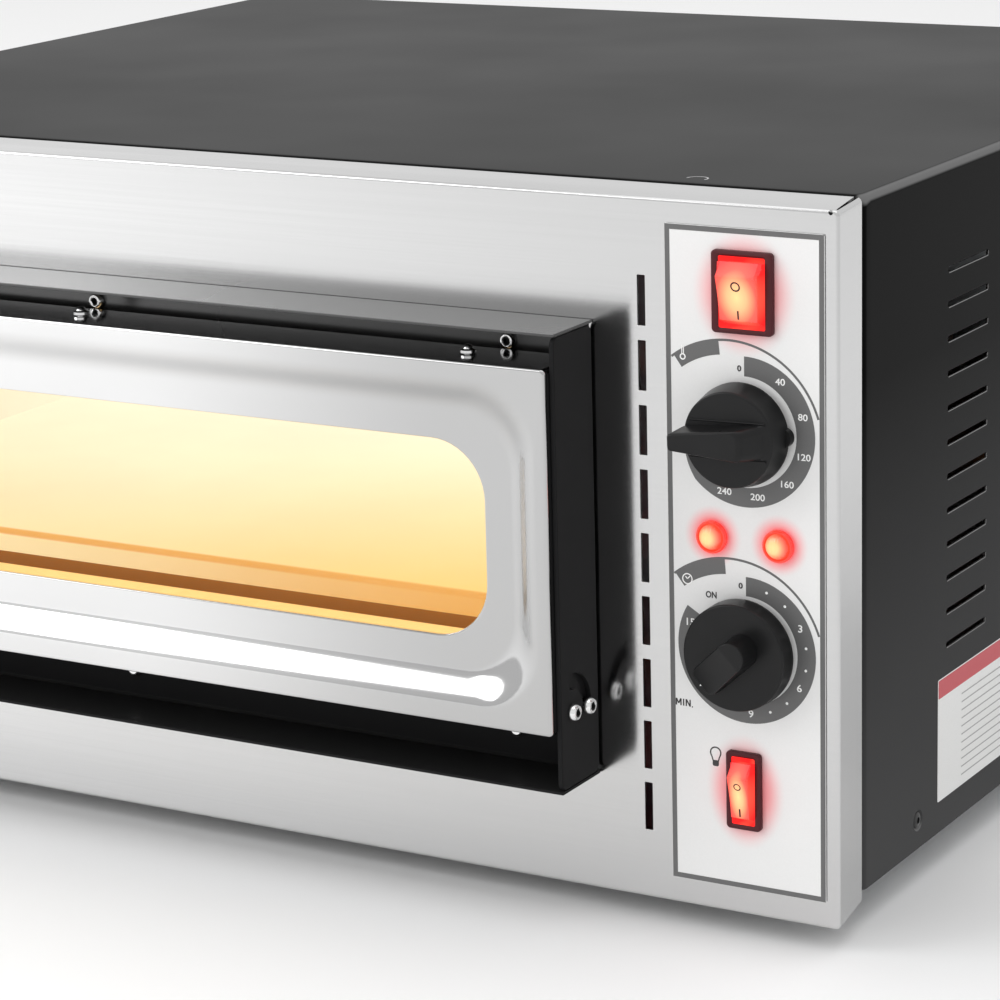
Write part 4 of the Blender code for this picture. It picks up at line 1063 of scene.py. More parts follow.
def hinge_holes():
    """Cutters for the hinge bolt and the guide bolt at each end of the door."""
    left = spans("door_skin")[0]
    ends = {"right": (left[0] - 3, left[0] + 6), "left": (left[1] - 6, left[1] + 3)}
    return [hole("X", middle(bolt + side)[1:], BOLT_HOLE, *end)
            for side, end in ends.items() for bolt in ("hinge_bolt_", "guide_bolt_")]


def door_back(finish):
    """Black inner pan, pressed in round the window to stiffen it."""
    left, behind, below = spans("door_pan")
    box = (*left, *below)
    lip, back = behind
    opening = grow(WINDOW, 4)
    outer = [(rectangle(*box, 1.5, 12), lip)] + rims(box, 1.5, 12, rounded(back, DOOR_BEND, -1, 4), 0.6)
    rib = pressed_step(grow(opening, 14), grow(opening, 9), 24, 22, back, back - 1.8, 5)
    edge = [(rectangle(*opening, 20, 12), back - 1.8),
            (rectangle(*opening, 20, 12), back - 1.8 - SHEET * 0.8)]
    inner_rib = [(outline, along - SHEET * 0.8) for outline, along in reversed(rib)]
    inner = [(rectangle(*grow(box, -SHEET), 0.9, 12), back - SHEET),
             (rectangle(*grow(box, -SHEET), 0.9, 12), lip)]
    pan = skin_loops("door_back", finish, "Y", outer + rib + edge + inner_rib + inner, closed=True)
    cuts = hinge_holes() + top_screw_holes(below[0], 6)
    settle(smooth(cut(pan, cuts), 28), "door", "black_paint", "door_pan")


def door_window(glass, frame_finish):
    """The pane with its ground edge, the frame that clamps it, and the sill that lines the opening."""
    _, behind, _ = spans("door_glass")
    box = grow(WINDOW, 7)
    loops = rims(box, 10, 8, reversed(rounded(behind[0], 0.4, 1, 2)))
    loops += rims(box, 10, 8, rounded(behind[1], 0.4, -1, 2))
    settle(skin_loops("window_pane", glass, "Y", loops), "door", "glass", "door_glass")
    _, behind, _ = spans("glass_retainer")
    front, back = behind
    sill_end = spans("door_pan")[1][1] - 3.4
    outer = grow(WINDOW, 10)
    path = [(rectangle(*outer, 12, 12), front), (rectangle(*outer, 12, 12), back),
            (rectangle(*grow(WINDOW, 2.4), 21, 12), back), (rectangle(*grow(WINDOW, 3.0), 21, 12), sill_end),
            (rectangle(*grow(WINDOW, 2.3), 21, 12), sill_end),
            (rectangle(*grow(WINDOW, 1.4), 22, 12), back - 0.3),
            (rectangle(*grow(WINDOW, 1.0), 22, 12), front)]
    made = skin_loops("window_frame", frame_finish, "Y", path, closed=True)
    settle(smooth(made, 30), "door", "aluminised_steel", "glass_retainer")


def door_ends(finish):
    """Black plates that close the door's ends, just behind its polished edge."""
    left, behind, below = spans("door_skin")
    for side, edge, out in (("right", left[0], -1), ("left", left[1], 1)):
        box = (behind[0] + 1.6, spans("door_pan")[1][1] - 1.0, below[0] + 1.5, below[1] - 1.5)
        ends = sorted((edge + out * 0.05, edge + out * 0.25))
        cap = plate("door_end_" + side, finish, "X", box, *ends, 1.5, 0.05)
        bolts = [middle(bolt + side)[1:] for bolt in ("hinge_bolt_", "guide_bolt_")]
        cut(cap, [hole("X", at, 2.9, ends[0] - 2, ends[1] + 2) for at in bolts])
        settle(smooth(cap, 40), "door", "black_paint")


def door_fixings(finish):
    """Domed screws in the door's top edge, and the hinge and guide bolts at its ends."""
    for place_name in ACROSS:
        node = "door_screw_" + place_name
        seat = spans("door_skin")[2][0] - GAP
        top, end = spans(node)[2]
        profile = [(top, 0.5), (top + 0.25, 1.2), (top + 0.8, 1.75), (top + 1.6, 2.05), (top + 1.8, 2.7),
                   (top + 2.1, 3.2), (seat - 0.2, 3.3), (seat, 3.1), (seat, 1.6), (end, 1.6)]
        dome = turned("dome_" + node, finish, "Z", middle(node)[:2], profile, 40)
        settle(dome, "door", "screw_steel", node)
    for side, out in (("right", -1), ("left", 1)):
        outer = spans("hood_side_" + side)[0][0 if side == "right" else 1]
        seat = outer + out * GAP
        for bolt in ("hinge_bolt_", "guide_bolt_"):
            node = bolt + side
            left = spans(node)[0]
            tip, end = left if side == "right" else left[::-1]
            screw = button_head("head_" + node, finish, "X", middle(node)[1:], seat, out, 3.5,
                                abs(tip - seat), (1.5, abs(end - seat)))
            settle(screw, "door", "screw_steel", node)


# ---- chamber --------------------------------------------------------------------------------
def chamber_floor(stone):
    """Baking stone with worn edges."""
    left, behind, below = spans("stone_slab")
    plan = (*left, *behind)
    loops = rims(plan, 5, 6, reversed(rounded(below[0], 1.8, 1, 4)))
    loops += rims(plan, 5, 6, rounded(below[1], 1.8, -1, 4))
    settle(smooth(skin_loops("baking_floor", stone, "Z", loops), 50), "casing", "baking_stone", "stone_slab")


def mouth_lip(finish):
    """Dark brown edge of the steel front along the bottom of the chamber's mouth, with the chamber's light
    painted on it as a warm glow.
    """
    right, left, _, bottom = MOUTH
    box = (right + 1.5, left - 1.5, bottom - 2.8, bottom + 3.4)
    settle(plate("mouth_lip", finish, "Y", box, -0.26, -0.04, 0.8, 0.08), "casing", None)


def turned_lamp(glass, ceramic_finish):
    """Oven lamp's dome in the chamber's right wall, with a beaded rim and a hollow inside."""
    wall, tip = spans("lamp_dome")[0]
    rim, dome = 20.0, 15.0
    outer = [(wall, rim - 0.4), (wall + 0.5, rim), (wall + 1.6, rim - 0.2), (wall + 2.0, rim - 1.5)]
    tall = tip - wall - 2.0
    arc = [math.radians(90 * k / 8) for k in range(9)]
    outer += [(wall + 2.0 + tall * math.sin(t), max(0.6, dome * math.cos(t))) for t in arc]
    inner = [(wall + 1.6 + (tall - 1.2) * math.sin(t), max(0.4, (dome - 1.6) * math.cos(t)))
             for t in reversed(arc)]
    shell = outer + inner + [(wall, dome - 1.6)]
    cover = turned("lamp_cover", glass, "X", middle("lamp_dome")[1:], shell, 40, closed=True)
    settle(cover, "casing", "glass", "lamp_dome")
    repaint(ceramic_finish, "lamp_holder")


def repaint(finish, *nodes):
    """Give CAD nodes whose shape is already right their finish."""
    for node in nodes:
        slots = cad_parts[node].data.materials
        slots.clear()
        slots.append(finish)


# ---- control panel --------------------------------------------------------------------------
def film_face():
    """Where the control panel's film ends, towards the user."""
    return spans("control_fascia")[1][0]


def printed(outline, finish=None):
    """A flat printed shape on the film."""
    return prism("print", finish, "Y", outline, film_face() - PRINT, film_face() + 0.02)


def on_circle(centre, radius, clockwise):
    """A point on a circle, an angle in degrees clockwise from straight up."""
    turn = math.radians(clockwise)
    return (centre[0] - radius * math.sin(turn), centre[1] - radius * math.cos(turn))


def sector(centre, inner, outer, start, end, step=4.0, last=None):
    """A printed piece of a ring between two clockwise angles; it may narrow to a last outer radius."""
    count = max(2, int(abs(end - start) / step))
    shares = [i / count for i in range(count + 1)]
    change = (last or outer) - outer
    outline = [on_circle(centre, outer + change * share, start + (end - start) * share) for share in shares]
    outline += [on_circle(centre, inner, start + (end - start) * share) for share in reversed(shares)]
    return printed(outline)


def ring(centre, inner, outer, segments=24):
    """A whole printed ring, in two halves."""
    return [sector(centre, inner, outer, start, start + 180, 360 / segments) for start in (0, 180)]


def bar(start, end, wide):
    """A straight printed stroke."""
    along = Vector((end[0] - start[0], end[1] - start[1])).normalized() * (wide / 2)
    side = (-along.y, along.x)
    return printed([(start[0] + side[0], start[1] + side[1]), (end[0] + side[0], end[1] + side[1]),
                    (end[0] - side[0], end[1] - side[1]), (start[0] - side[0], start[1] - side[1])])


def dot(centre, radius):
    return printed(circle(centre, radius, 16))


def words(text, centre, tall, bold=0.05, wide=1.12):
    """Raised letters or figures, tall millimetres high, centred on a place and read from the front."""
    curve = bpy.data.curves.new("letters", "FONT")
    curve.body = text
    curve.size = tall * MM * 1.38
    curve.align_x = "CENTER"
    curve.align_y = "CENTER"
    curve.extrude = PRINT * MM / 2
    curve.offset = bold * MM
    curve.resolution_u = 4
    letters = bpy.data.objects.new("letters", curve)
    bpy.context.scene.collection.objects.link(letters)
    seat = Matrix.Translation((X(centre[0]), Y(film_face() - PRINT * 0.75), Z(centre[1])))
    upright = seat @ Matrix.Rotation(math.radians(90), 4, "X") @ Matrix.Diagonal((wide, 1.0, 1.0, 1.0))
    bpy.context.view_layer.update()
    mesh = bpy.data.meshes.new_from_object(letters.evaluated_get(bpy.context.evaluated_depsgraph_get()))
    mesh.transform(upright)
    bpy.data.objects.remove(letters)
    made = bpy.data.objects.new("print", mesh)
    bpy.context.scene.collection.objects.link(made)
    return made


def stroked(word, left, below, tall, wide=0.72, thick=0.55):
    """Bars that draw M, I and N from a starting point at the foot of the word, and a full stop."""
    bars = []
    for letter in word:
        strokes = {"M": LETTER_M, "I": LETTER_I, "N": LETTER_N}[letter]
        points = [(left - across * tall * wide, below - up * tall) for across, up in strokes]
        bars += [bar(first, last, thick) for first, last in zip(points, points[1:])]
        left = points[-1][0] - 0.42 * tall
    return bars + [bar((left + 0.4, below), (left, below), thick)]


def panel_film(finish):
    """The film, with the same cut-outs as the steel behind it."""
    left, behind, below = spans("control_fascia")
    film = plate("panel_film", finish, "Y", (*left, *below), *behind, 0.8, 0.08)
    settle(smooth(cut(film, control_cutouts((behind[0] - 2, behind[1] + 2))), 40), "casing", "fascia_film",
           "control_fascia")


def grey_print(centres):
    """Dark grey artwork: border, dial rings, and the arcs with their bands."""
    left, _, below = spans("control_fascia")
    box = grow((*left, *below), -0.15)
    inner = grow(box, -BORDER)
    border = ((box[0], inner[0], box[2], box[3]), (inner[1], box[1], box[2], box[3]),
              (inner[0], inner[1], box[2], inner[2]), (inner[0], inner[1], inner[3], box[3]))
    artwork = [printed(rectangle(*edge)) for edge in border]
    artwork.append(sector(centres["thermostat"], DIAL["inner"], DIAL["outer"], 0, 226))
    artwork.append(sector(centres["thermostat"], DIAL["inner"], DIAL["outer"], 226, 268, 3.0,
                          DIAL["inner"] + 3.6))
    artwork.append(sector(centres["timer"], DIAL["inner"], DIAL["outer"], 0, 301))
    for arc in (THERMOSTAT_ARC, TIMER_ARC):
        centre = (arc["left"], arc["below"])
        radius = arc["radius"]
        start = -math.degrees(math.asin((inner[1] - centre[0]) / radius))
        end = math.degrees(math.asin((centre[0] - inner[0]) / radius))
        artwork.append(sector(centre, radius - 0.9, radius, start, end, 2.0))
        artwork.append(sector(centre, radius - arc["band"], radius - 0.9, arc["from"], arc["to"], 2.0))
    return joined("panel_artwork_grey", artwork, ink("ink_grey", (0.115, 0.115, 0.115)))


def white_print(centres):
    """White figures and dots on the dials, and the two white symbols."""
    figures = [words(str(degrees), on_circle(centres["thermostat"], DIAL["numerals"], angle), 2.6)
               for degrees, angle in TEMPERATURES]
    figures += [words(str(n), on_circle(centres["timer"], DIAL["numerals"], a), 2.9) for n, a in MINUTES]
    figures += [dot(on_circle(centres["timer"], DIAL["numerals"], a), 0.55) for a in MINUTE_DOTS]
    thermometer = (59.2, 58.7)
    figures += ring(thermometer, 0.75, 1.25)
    figures += [bar((across, thermometer[1] - 1.1), (across, thermometer[1] - 4.4), 0.35)
                for across in (thermometer[0] + 0.35, thermometer[0] - 0.35)]
    clock = (58.4, 144.4)
    figures += ring(clock, 1.75, 2.2)
    figures += [bar(clock, (clock[0] - 1.1, clock[1] - 1.1), 0.4),
                bar(clock, (clock[0] + 0.8, clock[1] - 0.9), 0.4)]
    return joined("panel_artwork_white", lifted(figures), ink("ink_white", (0.86, 0.86, 0.85)))


def lifted(pieces):
    """Shapes printed over the grey ink, so just ahead of it."""
    for piece in pieces:
        piece.data.transform(Matrix.Translation((0, -PRINT * MM, 0)))
    return pieces


def black_print():
    """Black figures and words beside the dials, and the lamp symbol."""
    marks = [words("0", (35.9, 61.3), 2.2, 0.1), words("0", (36.1, 144.6), 2.2, 0.1),
             words("ON", (48.4, 149.6), 2.5, 0.1, 0.86), *stroked("MIN", 63.8, 195.0, 2.7)]
    bulb = (47.3, 211.9)
    marks.append(sector(bulb, 1.9, 2.45, -128, 128, 8))
    neck = 4.2
    for lean in (1, -1):
        shoulder = on_circle(bulb, 2.17, lean * 128)
        marks.append(bar(shoulder, (bulb[0] - lean * 1.0, bulb[1] + neck - 0.6), 0.5))
    cap = rectangle(bulb[0] - 1.3, bulb[0] + 1.3, bulb[1] + neck - 1.2, bulb[1] + neck + 1.2, 0.7, 4)
    marks.append(printed(cap))
    return joined("panel_artwork_black", marks, ink("ink_black", (0.03, 0.027, 0.028)))


def switch_bezel(node, finish, lit):
    """Housing of a rocker switch with a sloping, rounded bezel; the rocker's red light is painted inside its
    well as a glow.
    """
    left, (front, _), below = spans(node)
    seat = film_face() - GAP
    edge = (*left, *below)
    well = grow(spans_box(node.replace("_switch_body", "_rocker")), 0.35)
    sleeve = rectangle(*grow(well, 0.8), 0.5, 6)
    loops = [(sleeve, WELL_DEPTH + 1), (sleeve, seat)]
    loops += [(rectangle(*edge, 1.7, 6), seat), (rectangle(*edge, 1.7, 6), front + 0.9)]
    loops += rims(edge, 1.7, 6, rounded(front + 0.15, 0.7, 1, 4)[1:])
    loops += [(rectangle(*grow(well, 0.9), 0.9, 6), front),
              (rectangle(*grow(well, 0.1), 0.6, 6), front + 0.5),
              (rectangle(*well, 0.5, 6), front + 1.4), (rectangle(*well, 0.5, 6), WELL_DEPTH)]
    made = skin_loops(node.replace("_body", "_bezel"), finish, "Y", loops)
    # Painted light: faces inside the well take the rocker's glowing lens material.
    made.data.materials.append(lit)
    inside = grow(well, 1.0)
    for face in made.data.polygons:
        across, along, up = face.center
        level = Z(inside[3]) < up < Z(inside[2])
        if level and X(inside[1]) < across < X(inside[0]) and along > Y(front + 0.7):
            face.material_index = 1
    settle(smooth(made, 40), "casing", "black_plastic", node)


def spans_box(node):
    """A rocker's well: as wide as the rocker and as tall as its housing's opening."""
    left, _, _ = spans(node)
    housing = spans(node.replace("_rocker", "_switch_body"))[2]
    centre = (housing[0] + housing[1]) / 2
    return (*left, centre - WELL_HALF, centre + WELL_HALF)


def rocker_lens(node, body, finish, mark_finish):
    """Lit rocker with two soft ridges, and the marks O and I moulded into it."""
    left = spans(node)[0]
    pivot_level = sum(spans(node.replace("_rocker", "_switch_body"))[2]) / 2
    half_wide = (left[1] - left[0]) / 2
    centre = sum(left) / 2
    tilt = math.radians(ROCKER_TILT)

    def tilted(out, up):
        return (out * math.cos(tilt) - up * math.sin(tilt),
                pivot_level - out * math.sin(tilt) - up * math.cos(tilt))

    profile = [(-2.0, 12.4), (-6.5, 9.2), (-7.1, 8.85), (-7.35, 8.5), (-7.3, 7.9), (-7.0, 3.5), (-6.9, 0.0),
               (-7.0, -3.5), (-7.3, -7.9), (-7.35, -8.5), (-7.1, -8.85), (-6.5, -9.2), (-2.0, -12.4),
               (0.5, -11.6), (4.5, -7.0), (5.5, 0.0), (4.5, 7.0), (0.5, 11.6)]
    outline = [tilted(*point) for point in profile]
    side = [tilted(max(out, -3.0), up * 0.985) for out, up in profile]
    draft = min(1.3, 0.14 * half_wide)
    loops = [(side, centre - half_wide), (outline, centre - half_wide + draft),
             (outline, centre + half_wide - draft), (side, centre + half_wide)]
    made = smooth(skin_loops(node + "_lens", finish, "X", loops), 25)
    settle(made, body, "red_lens", node)
    size = 0.78 if half_wide < 6 else 1.0
    marks = [face_mark(circle((centre, 4.9), 2.0 * size, 32), circle((centre, 4.9), 1.36 * size, 32), tilted),
             face_mark(rectangle(centre - 0.36, centre + 0.36, -8.0, -4.6, 0.15, 3), None, tilted)]
    settle(joined(node + "_marks", marks, mark_finish), body, None)


def face_mark(outline, inner, tilted, proud=0.05):
    """A thin printed shape that follows a rocker's hollow face."""
    def at(point, lift):
        across, up = point
        out = -6.9 - 0.42 * (abs(up) / 8.2) ** 2 - lift
        behind, below = tilted(out, up)
        return Vector((X(across), Y(behind), Z(below)))
    bm = bmesh.new()
    rings = [[bm.verts.new(at(point, lift)) for point in outline] for lift in (-0.15, proud)]
    if inner:
        rings += [[bm.verts.new(at(point, lift)) for point in inner] for lift in (proud, -0.15)]
    bridge(bm, rings, closed=bool(inner))
    return mesh_piece("mark", bm, None)


def indicator(node, ring_finish, lens_finish):
    """Round signal lamp: a rolled rim and a ribbed lens lit from behind."""
    behind = spans(node)[1]
    centre = middle(node)[::2]
    seat = film_face() - GAP
    rim = [(behind[1], 3.8), (seat, 4.2), (seat, 6.2), (seat - 0.5, 6.4), (seat - 1.4, 6.3),
           (seat - 1.9, 5.9), (seat - 2.0, 5.4), (seat - 1.6, 5.0), (seat - 1.2, 4.9)]
    settle(turned(node + "_rim", ring_finish, "Y", centre, rim), "casing", "red_lens", node)
    tall = seat - behind[0]
    arc = [math.radians(90 * k / 8) for k in range(9)]
    lens = [(seat - 1.0, 4.9)]
    lens += [(seat - 1.2 - (tall - 1.4) * math.sin(t), max(0.3, 4.85 * math.cos(t))) for t in arc]
    settle(turned(node + "_lens", lens_finish, "Y", centre, lens, 36), "casing", "red_lens")


def knob_skirt(name, finish, centre, base, rim, face):
    """Turned part of a knob, with a soft edge round its face and a step at its back."""
    loops = [(KNOB_SEAT, base - 1.2), (KNOB_SEAT - 0.3, base - 0.6), (KNOB_SEAT - 1.0, base),
             (KNOB_SEAT - 2.6, base)]
    loops += [(along, rim - inset) for inset, along in rounded(face, 0.9, 1, 5)]
    loops.append((face + 0.12, rim - 2.2))
    return turned(name, finish, "Y", centre, loops, 72)


def wedge(centre, nose_half, nose_end, tail_half, tail_end, corner=3.0, steps=5):
    """Outline of a grip that widens from its pointing end, at the top, to its round-cornered tail."""
    nose_round = min(nose_half * 0.9, 1.6)
    outline = []
    for corner_u, corner_v, radius, start in (
            (nose_half - nose_round, nose_round - nose_end, nose_round, 270),
            (tail_half - corner, tail_end - corner, corner, 0),
            (corner - tail_half, tail_end - corner, corner, 90),
            (nose_round - nose_half, nose_round - nose_end, nose_round, 180)):
        outline += quarter((centre[0] + corner_u, centre[1] + corner_v), radius, start, steps)
    return outline


def thermostat_control(finish):
    """Knob with a blade across its face, whose nose overhangs the rim and points."""
    node = "thermostat_knob"
    centre = middle("thermostat_spindle")[::2]
    front = spans(node)[1][0]
    base, rim, face = 19.7, 18.2, -15.0
    body = knob_skirt("thermostat_control", finish, centre, base, rim, face)
    levels = [(wedge(centre, 5.0, rim - 1.4, 7.0, rim - 1.0), face + 3),
              (wedge(centre, 4.9, rim - 0.9, 6.9, rim - 1.2), face + 0.1),
              (wedge(centre, 4.5, rim + 0.4, 6.5, 14.6), face - 1.0),
              (wedge(centre, 3.6, 19.9, 5.9, 10.4), front + 1.4),
              (wedge(centre, 3.3, 20.3, 5.6, 9.2), front + 0.6),
              (wedge(centre, 2.9, 20.0, 5.2, 8.3), front + 0.15),
              (wedge(centre, 2.6, 19.5, 4.9, 7.4), front)]
    blade = smooth(cutter(skin_loops, "Y", levels), 30)
    lug = cutter(prism, "Y", circle((centre[0], centre[1] + 17.6), 3.8, 28), KNOB_SEAT, KNOB_SEAT - 3.2)
    ribs = []
    for side in (-1, 1):
        near = centre[0] + side * 6.7
        section = [(near, face + 1), (near, face - 0.28), (near + side * 0.35, face - 0.42),
                   (near + side * 0.75, face - 0.28), (near + side * 0.9, face + 1)]
        ends = (centre[1] - 15.4, centre[1] + 15.4)
        ribs.append(cutter(prism, "Z", section, *ends))
    combine(body, [blade, lug, *ribs], "UNION")
    swing(smooth(body, 30), centre, THERMOSTAT_POINTS, KNOB_SEAT)
    settle(body, "thermostat_dial", "black_plastic", node)


def timer_control(finish, mark):
    """Knob with a bar that stands tall at its round tail and slopes down to its pointing end."""
    node = "timer_knob"
    centre = middle("timer_spindle")[::2]
    front = spans(node)[1][0]
    base, rim, face, tip, half, nose, tail = 21.0, 20.8, -12.5, -14.4, 6.2, 17.0, 11.5
    body = knob_skirt("timer_control", finish, centre, base, rim, face)
    sweep = [math.radians(180 * step / 20) for step in range(21)]

    def plan(shrink):
        reach = half - shrink
        points = [(centre[0] + reach * math.cos(a), centre[1] + tail - half + reach * math.sin(a))
                  for a in sweep]
        return points + [(centre[0] - half + shrink, centre[1] + 3 - nose),
                         (centre[0] - half + 1.6 + shrink, centre[1] + shrink - nose),
                         (centre[0] + half - 1.6 - shrink, centre[1] + shrink - nose),
                         (centre[0] + half - shrink, centre[1] + 3 - nose)]

    grip = cutter(skin_loops, "Y", [(plan(-0.25), face + 3), (plan(-0.25), face + 0.1), (plan(0), face - 0.6),
                                    (plan(0.4), front - 2)])
    top_end, low_end = centre[1] + tail - 7, centre[1] - nose
    slope = [(front - 6, centre[1] + tail + 6), (front + 0.3, centre[1] + tail + 6),
             (front, centre[1] + tail - 2), (front, top_end), (tip, low_end), (tip, low_end - 5),
             (front - 6, low_end - 5)]
    combine(grip, [cutter(prism, "X", slope, centre[0] - half - 3, centre[0] + half + 3)], "DIFFERENCE")
    soften(grip, 0.45, 3, 30)
    combine(body, [grip], "UNION")
    swing(smooth(body, 30), centre, TIMER_POINTS, KNOB_SEAT)
    settle(body, "timer_dial", "black_plastic", node)
    triangle = [(centre[0], centre[1] - 18.6), (centre[0] + 1.0, centre[1] - 17.1),
                (centre[0] - 1.0, centre[1] - 17.1)]
    arrow = prism("timer_pointer", mark, "Y", triangle, face - 0.05, face + 0.2)
    settle(swing(arrow, centre, TIMER_POINTS, KNOB_SEAT), "timer_dial", None)


# ---- whole oven -----------------------------------------------------------------------------
def build_casing(paint, plastic, screw):
    steel_front(brushed_steel())
    casing_cover(cover_paint())
    louvre_edges(ink("louvre_edge_highlight", (0.16, 0.16, 0.16), 0.35))
    casing_screws(moulded_plastic("black_oxide", (0.010, 0.010, 0.010), 0.3))
    rear_panel(paint, screw)
    gland_and_feet(plastic, rubber())
    side_label(ink("label_white", (0.74, 0.74, 0.73), 0.35), ink("label_red", (0.50, 0.055, 0.07), 0.35),
               ink("label_grey", (0.34, 0.34, 0.34), 0.5))
    deck_mark(ink("deck_mark", (0.35, 0.35, 0.35), 0.3))
    zinc = galvanised()
    repaint(zinc, "bottom_plate", "control_partition")
    repaint(moulded_plastic("moulded_grey", (0.55, 0.54, 0.50), 0.5), "terminal_block", "thermostat_body",
            "timer_body")


def build_hood(satin_with_painted_top, paint, screw):
    hood_plate("hood_top_plate", "hood_top", satin_with_painted_top)
    hood_plate("hood_bottom_plate", "hood_bottom", paint)
    hood_side("hood_right_cheek", "hood_side_right", paint)
    hood_side("hood_left_cheek", "hood_side_left", paint)
    hood_screws(screw)


def build_door(paint, screw, glass):
    door_front(polished_steel())
    door_back(paint)
    door_ends(paint)
    # Painted light: the window frame and its sill glow orange as painted chamber light.
    door_window(glass, warm_sheet("window_sill_painted_glow", (0.42, 0.30, 0.14), (1.0, 0.62, 0.20), 0.85))
    door_fixings(screw)


def build_chamber(glass):
    # Painted light: the chamber walls glow cream as painted lamp light, brighter towards the back.
    walls = warm_sheet("aluminised_steel", (0.42, 0.38, 0.30), (1.0, 0.92, 0.72), 0.40, 2.0)
    chamber_floor(baking_stone())
    # Painted light: the lip's brown finish glows as painted chamber light.
    mouth_lip(warm_sheet("brown_lip_painted_glow", (0.12, 0.05, 0.015), (0.44, 0.14, 0.018), 0.62))
    repaint(walls, "chamber_liner", "stone_rail_right", "stone_rail_left")
    repaint(heater_sheath(), "upper_heating_element", "lower_heating_element")
    repaint(lagging(), "insulation_top", "insulation_bottom", "insulation_left", "insulation_right",
            "insulation_back")
    repaint(copper(), "thermostat_probe")
    bulb = Finish("lamp_bulb", (1.0, 0.85, 0.6), 0.2)
    bulb.glow((1.0, 0.78, 0.45), bulb.span(bulb.noise(200.0), 3.0, 4.0))
    repaint(bulb.material, "lamp_bulb")
    turned_lamp(glass, moulded_plastic("ceramic", (0.82, 0.79, 0.72), 0.5, 900.0))


def lens_place(node, out=-7.0):
    """Where a rocker's own lamp shines through its face."""
    left, _, below = spans(node)
    return (X(sum(left) / 2), Y(out), Z(sum(below) / 2 + 0.5))


def build_controls(plastic, screw):
    centres = {name: middle(name + "_spindle")[::2] for name in ("thermostat", "timer")}
    lamps = ("indicator_lamp_left", "indicator_lamp_right")
    painted_halos = [(lens_place("power_rocker", 0), (22, 60, 25)), (lens_place("light_rocker", 0), (17, 60, 24))]
    for node in lamps:
        at = middle(node)
        painted_halos.append(((X(at[0]), Y(0), Z(at[2])), (12.5, 60, 12.5)))
    panel_film(fascia_film(painted_halos))
    for artwork in (grey_print(centres), white_print(centres), black_print()):
        settle(artwork, "casing", None)
    bezel = moulded_plastic("bezel_plastic", (0.060, 0.011, 0.014), 0.4, shine=0.2)
    black_ink = ink("mark_black", (0.02, 0.008, 0.006))
    stops = ((0.0, (1.0, 0.72, 0.30)), (0.35, (1.0, 0.50, 0.22)), (0.7, (1.0, 0.10, 0.06)),
             (1.0, (0.90, 0.02, 0.02)))
    for node in ("power_rocker", "light_rocker"):
        left = spans(node)[0]
        reach = ((left[1] - left[0]) * 0.62, 30, 15)
        lens = lit_lens(node + "_glow", lens_place(node), reach, stops, 1.15)
        switch_bezel(node.replace("_rocker", "_switch_body"), bezel, lens)
        rocker_lens(node, node, lens, black_ink)
    for node in lamps:
        at = middle(node)
        place_at = (X(at[0] + 0.8), Y(at[1]), Z(at[2]))
        lens_stops = ((0.0, (1.0, 0.72, 0.30)), (0.45, (1.0, 0.60, 0.26)), (0.8, (1.0, 0.22, 0.12)),
                      (1.0, (1.0, 0.06, 0.03)))
        lens = lit_lens(node + "_glow", place_at, (5.2, 60, 5.2), lens_stops, 1.2, ribs=260)
        rim_stops = ((0.0, (1.0, 0.06, 0.02)), (0.6, (1.0, 0.05, 0.02)), (0.9, (1.0, 0.045, 0.02)),
                     (1.0, (0.9, 0.03, 0.02)))
        rim = lit_lens(node + "_ring", place_at, (7.0, 60, 7.0), rim_stops, 0.95)
        indicator(node, rim, lens)
    white = ink("pointer_white", (0.82, 0.82, 0.82))
    thermostat_control(plastic)
    timer_control(plastic, white)
    repaint(screw, "thermostat_spindle", "timer_spindle")


# ---- studio ---------------------------------------------------------------------------------
def studio():
    """Pale floor, a soft light above the front and one overhead, and an even, pale surround."""
    bm = bmesh.new()
    bmesh.ops.create_grid(bm, x_segments=2, y_segments=2, size=20.0)
    floor = mesh_piece("floor", bm, studio_floor())
    floor.location.z = CAD_BOX[0].z
    soft_light("key", (-2.1, -1.45, 1.55), (-0.3, -0.3, 0.0), 2.4, 1.8, 36)
    soft_light("overhead", (0.1, -0.3, 2.4), (0.0, -0.3, 0.0), 2.6, 2.2, 15)
    world = bpy.data.worlds.new("studio")
    bpy.context.scene.world = world
    world.use_nodes = True
    nodes = world.node_tree.nodes
    nodes["Background"].inputs["Strength"].default_value = 0.86
    nodes["Background"].inputs["Color"].default_value = (1.0, 1.0, 1.0, 1.0)


def area_light(name, place_at, wide, tall, watts):
    """A rectangular soft light that shines straight down."""
    lamp = bpy.data.lights.new(name, "AREA")
    lamp.shape = "RECTANGLE"
    lamp.size = wide
    lamp.size_y = tall
    lamp.energy = watts
    holder = bpy.data.objects.new(name, lamp)
    holder.location = place_at
    bpy.context.scene.collection.objects.link(holder)
    return holder


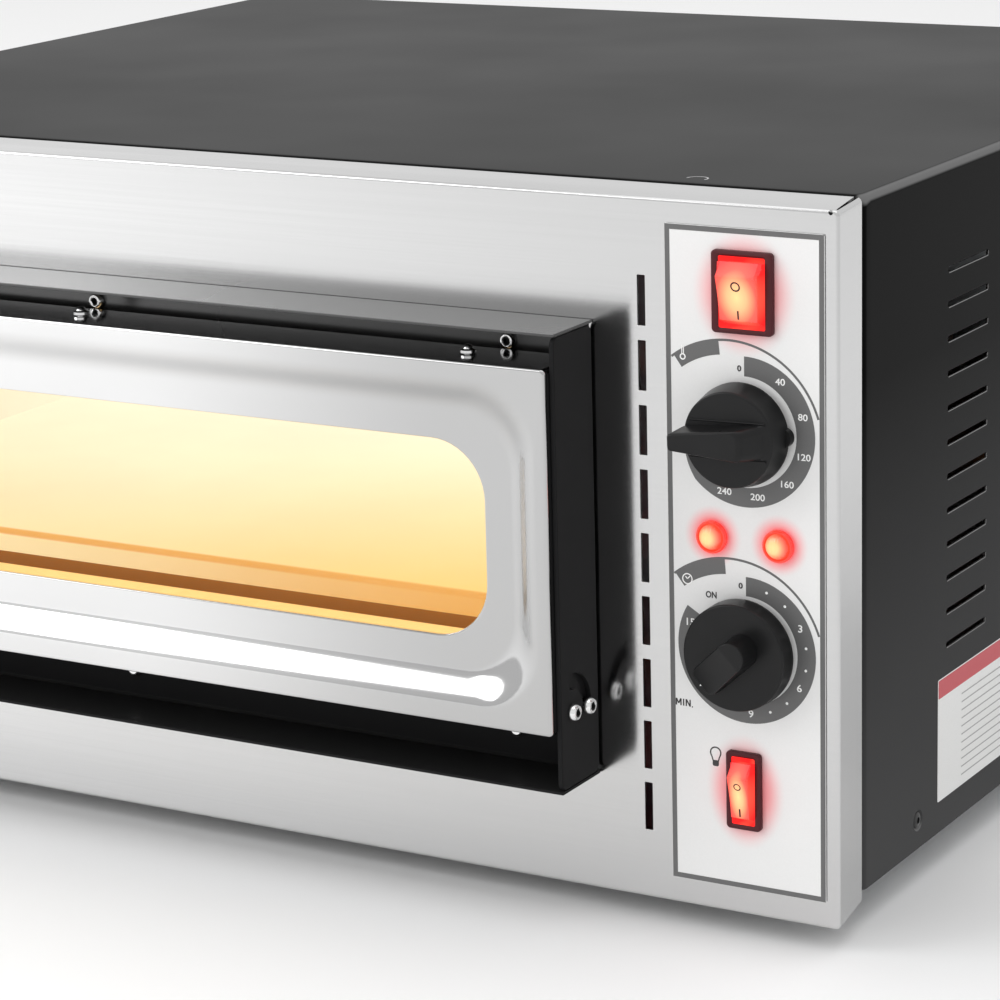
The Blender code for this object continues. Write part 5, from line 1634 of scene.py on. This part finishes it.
def soft_light(name, place_at, aim, wide, tall, watts):
    """A soft light turned to face a point."""
    holder = area_light(name, place_at, wide, tall, watts)
    holder.rotation_mode = "QUATERNION"
    holder.rotation_quaternion = (Vector(aim) - Vector(place_at)).to_track_quat("-Z", "Y")


def oven_light():
    """The warm light of the oven lamp inside the chamber."""
    left, behind, below = spans("chamber_liner")
    place_at = (X(sum(left) / 2), Y(sum(behind) / 2), Z(below[0] + 16))
    holder = area_light("oven_light", place_at, 0.34, 0.30, 0.05)
    holder.data.color = (1.0, 0.72, 0.36)
    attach(holder, "casing")


def camera():
    """The view: from the right and above, close on the controls and the right half of the door."""
    turn = Matrix.Identity(3)
    for axis, degrees in CAMERA_TURN:
        turn = turn @ Matrix.Rotation(math.radians(degrees), 3, axis)
    right, forward, up = (turn @ Vector(v) for v in ((1, 0, 0), (0, 1, 0), (0, 0, 1)))
    lens = bpy.data.cameras.new("camera")
    lens.sensor_width = 36.0
    lens.lens = FOCAL_LENGTH
    lens.clip_start = 0.05
    lens.clip_end = 60.0
    viewer = bpy.data.objects.new("camera", lens)
    axes = Matrix((right, up, -forward)).transposed().to_4x4()
    viewer.matrix_world = Matrix.Translation(CAMERA_AT) @ axes
    bpy.context.scene.collection.objects.link(viewer)
    bpy.context.scene.camera = viewer


def main():
    bpy.context.scene.view_settings.view_transform = "Standard"
    camera()
    paint = black_paint("black_paint", 0.03)
    # Black satin paint whose level faces carry a lighter painted reflection.
    satin_with_painted_top = black_paint("black_satin_painted_top", 0.9, 0.26, 0.11)
    plastic = moulded_plastic("black_plastic", (0.007, 0.007, 0.0073), 0.3, shine=0.22)
    screw = bright_screw()
    # Near-black material for screw sockets, as painted shade.
    moulded_plastic("socket_shade", (0.004, 0.004, 0.004), 0.6)
    glass = clear_glass("clear_glass")
    build_casing(paint, plastic, screw)
    build_hood(satin_with_painted_top, paint, screw)
    build_door(paint, screw, glass)
    build_chamber(glass)
    build_controls(plastic, screw)
    oven_light()
    studio()


main()
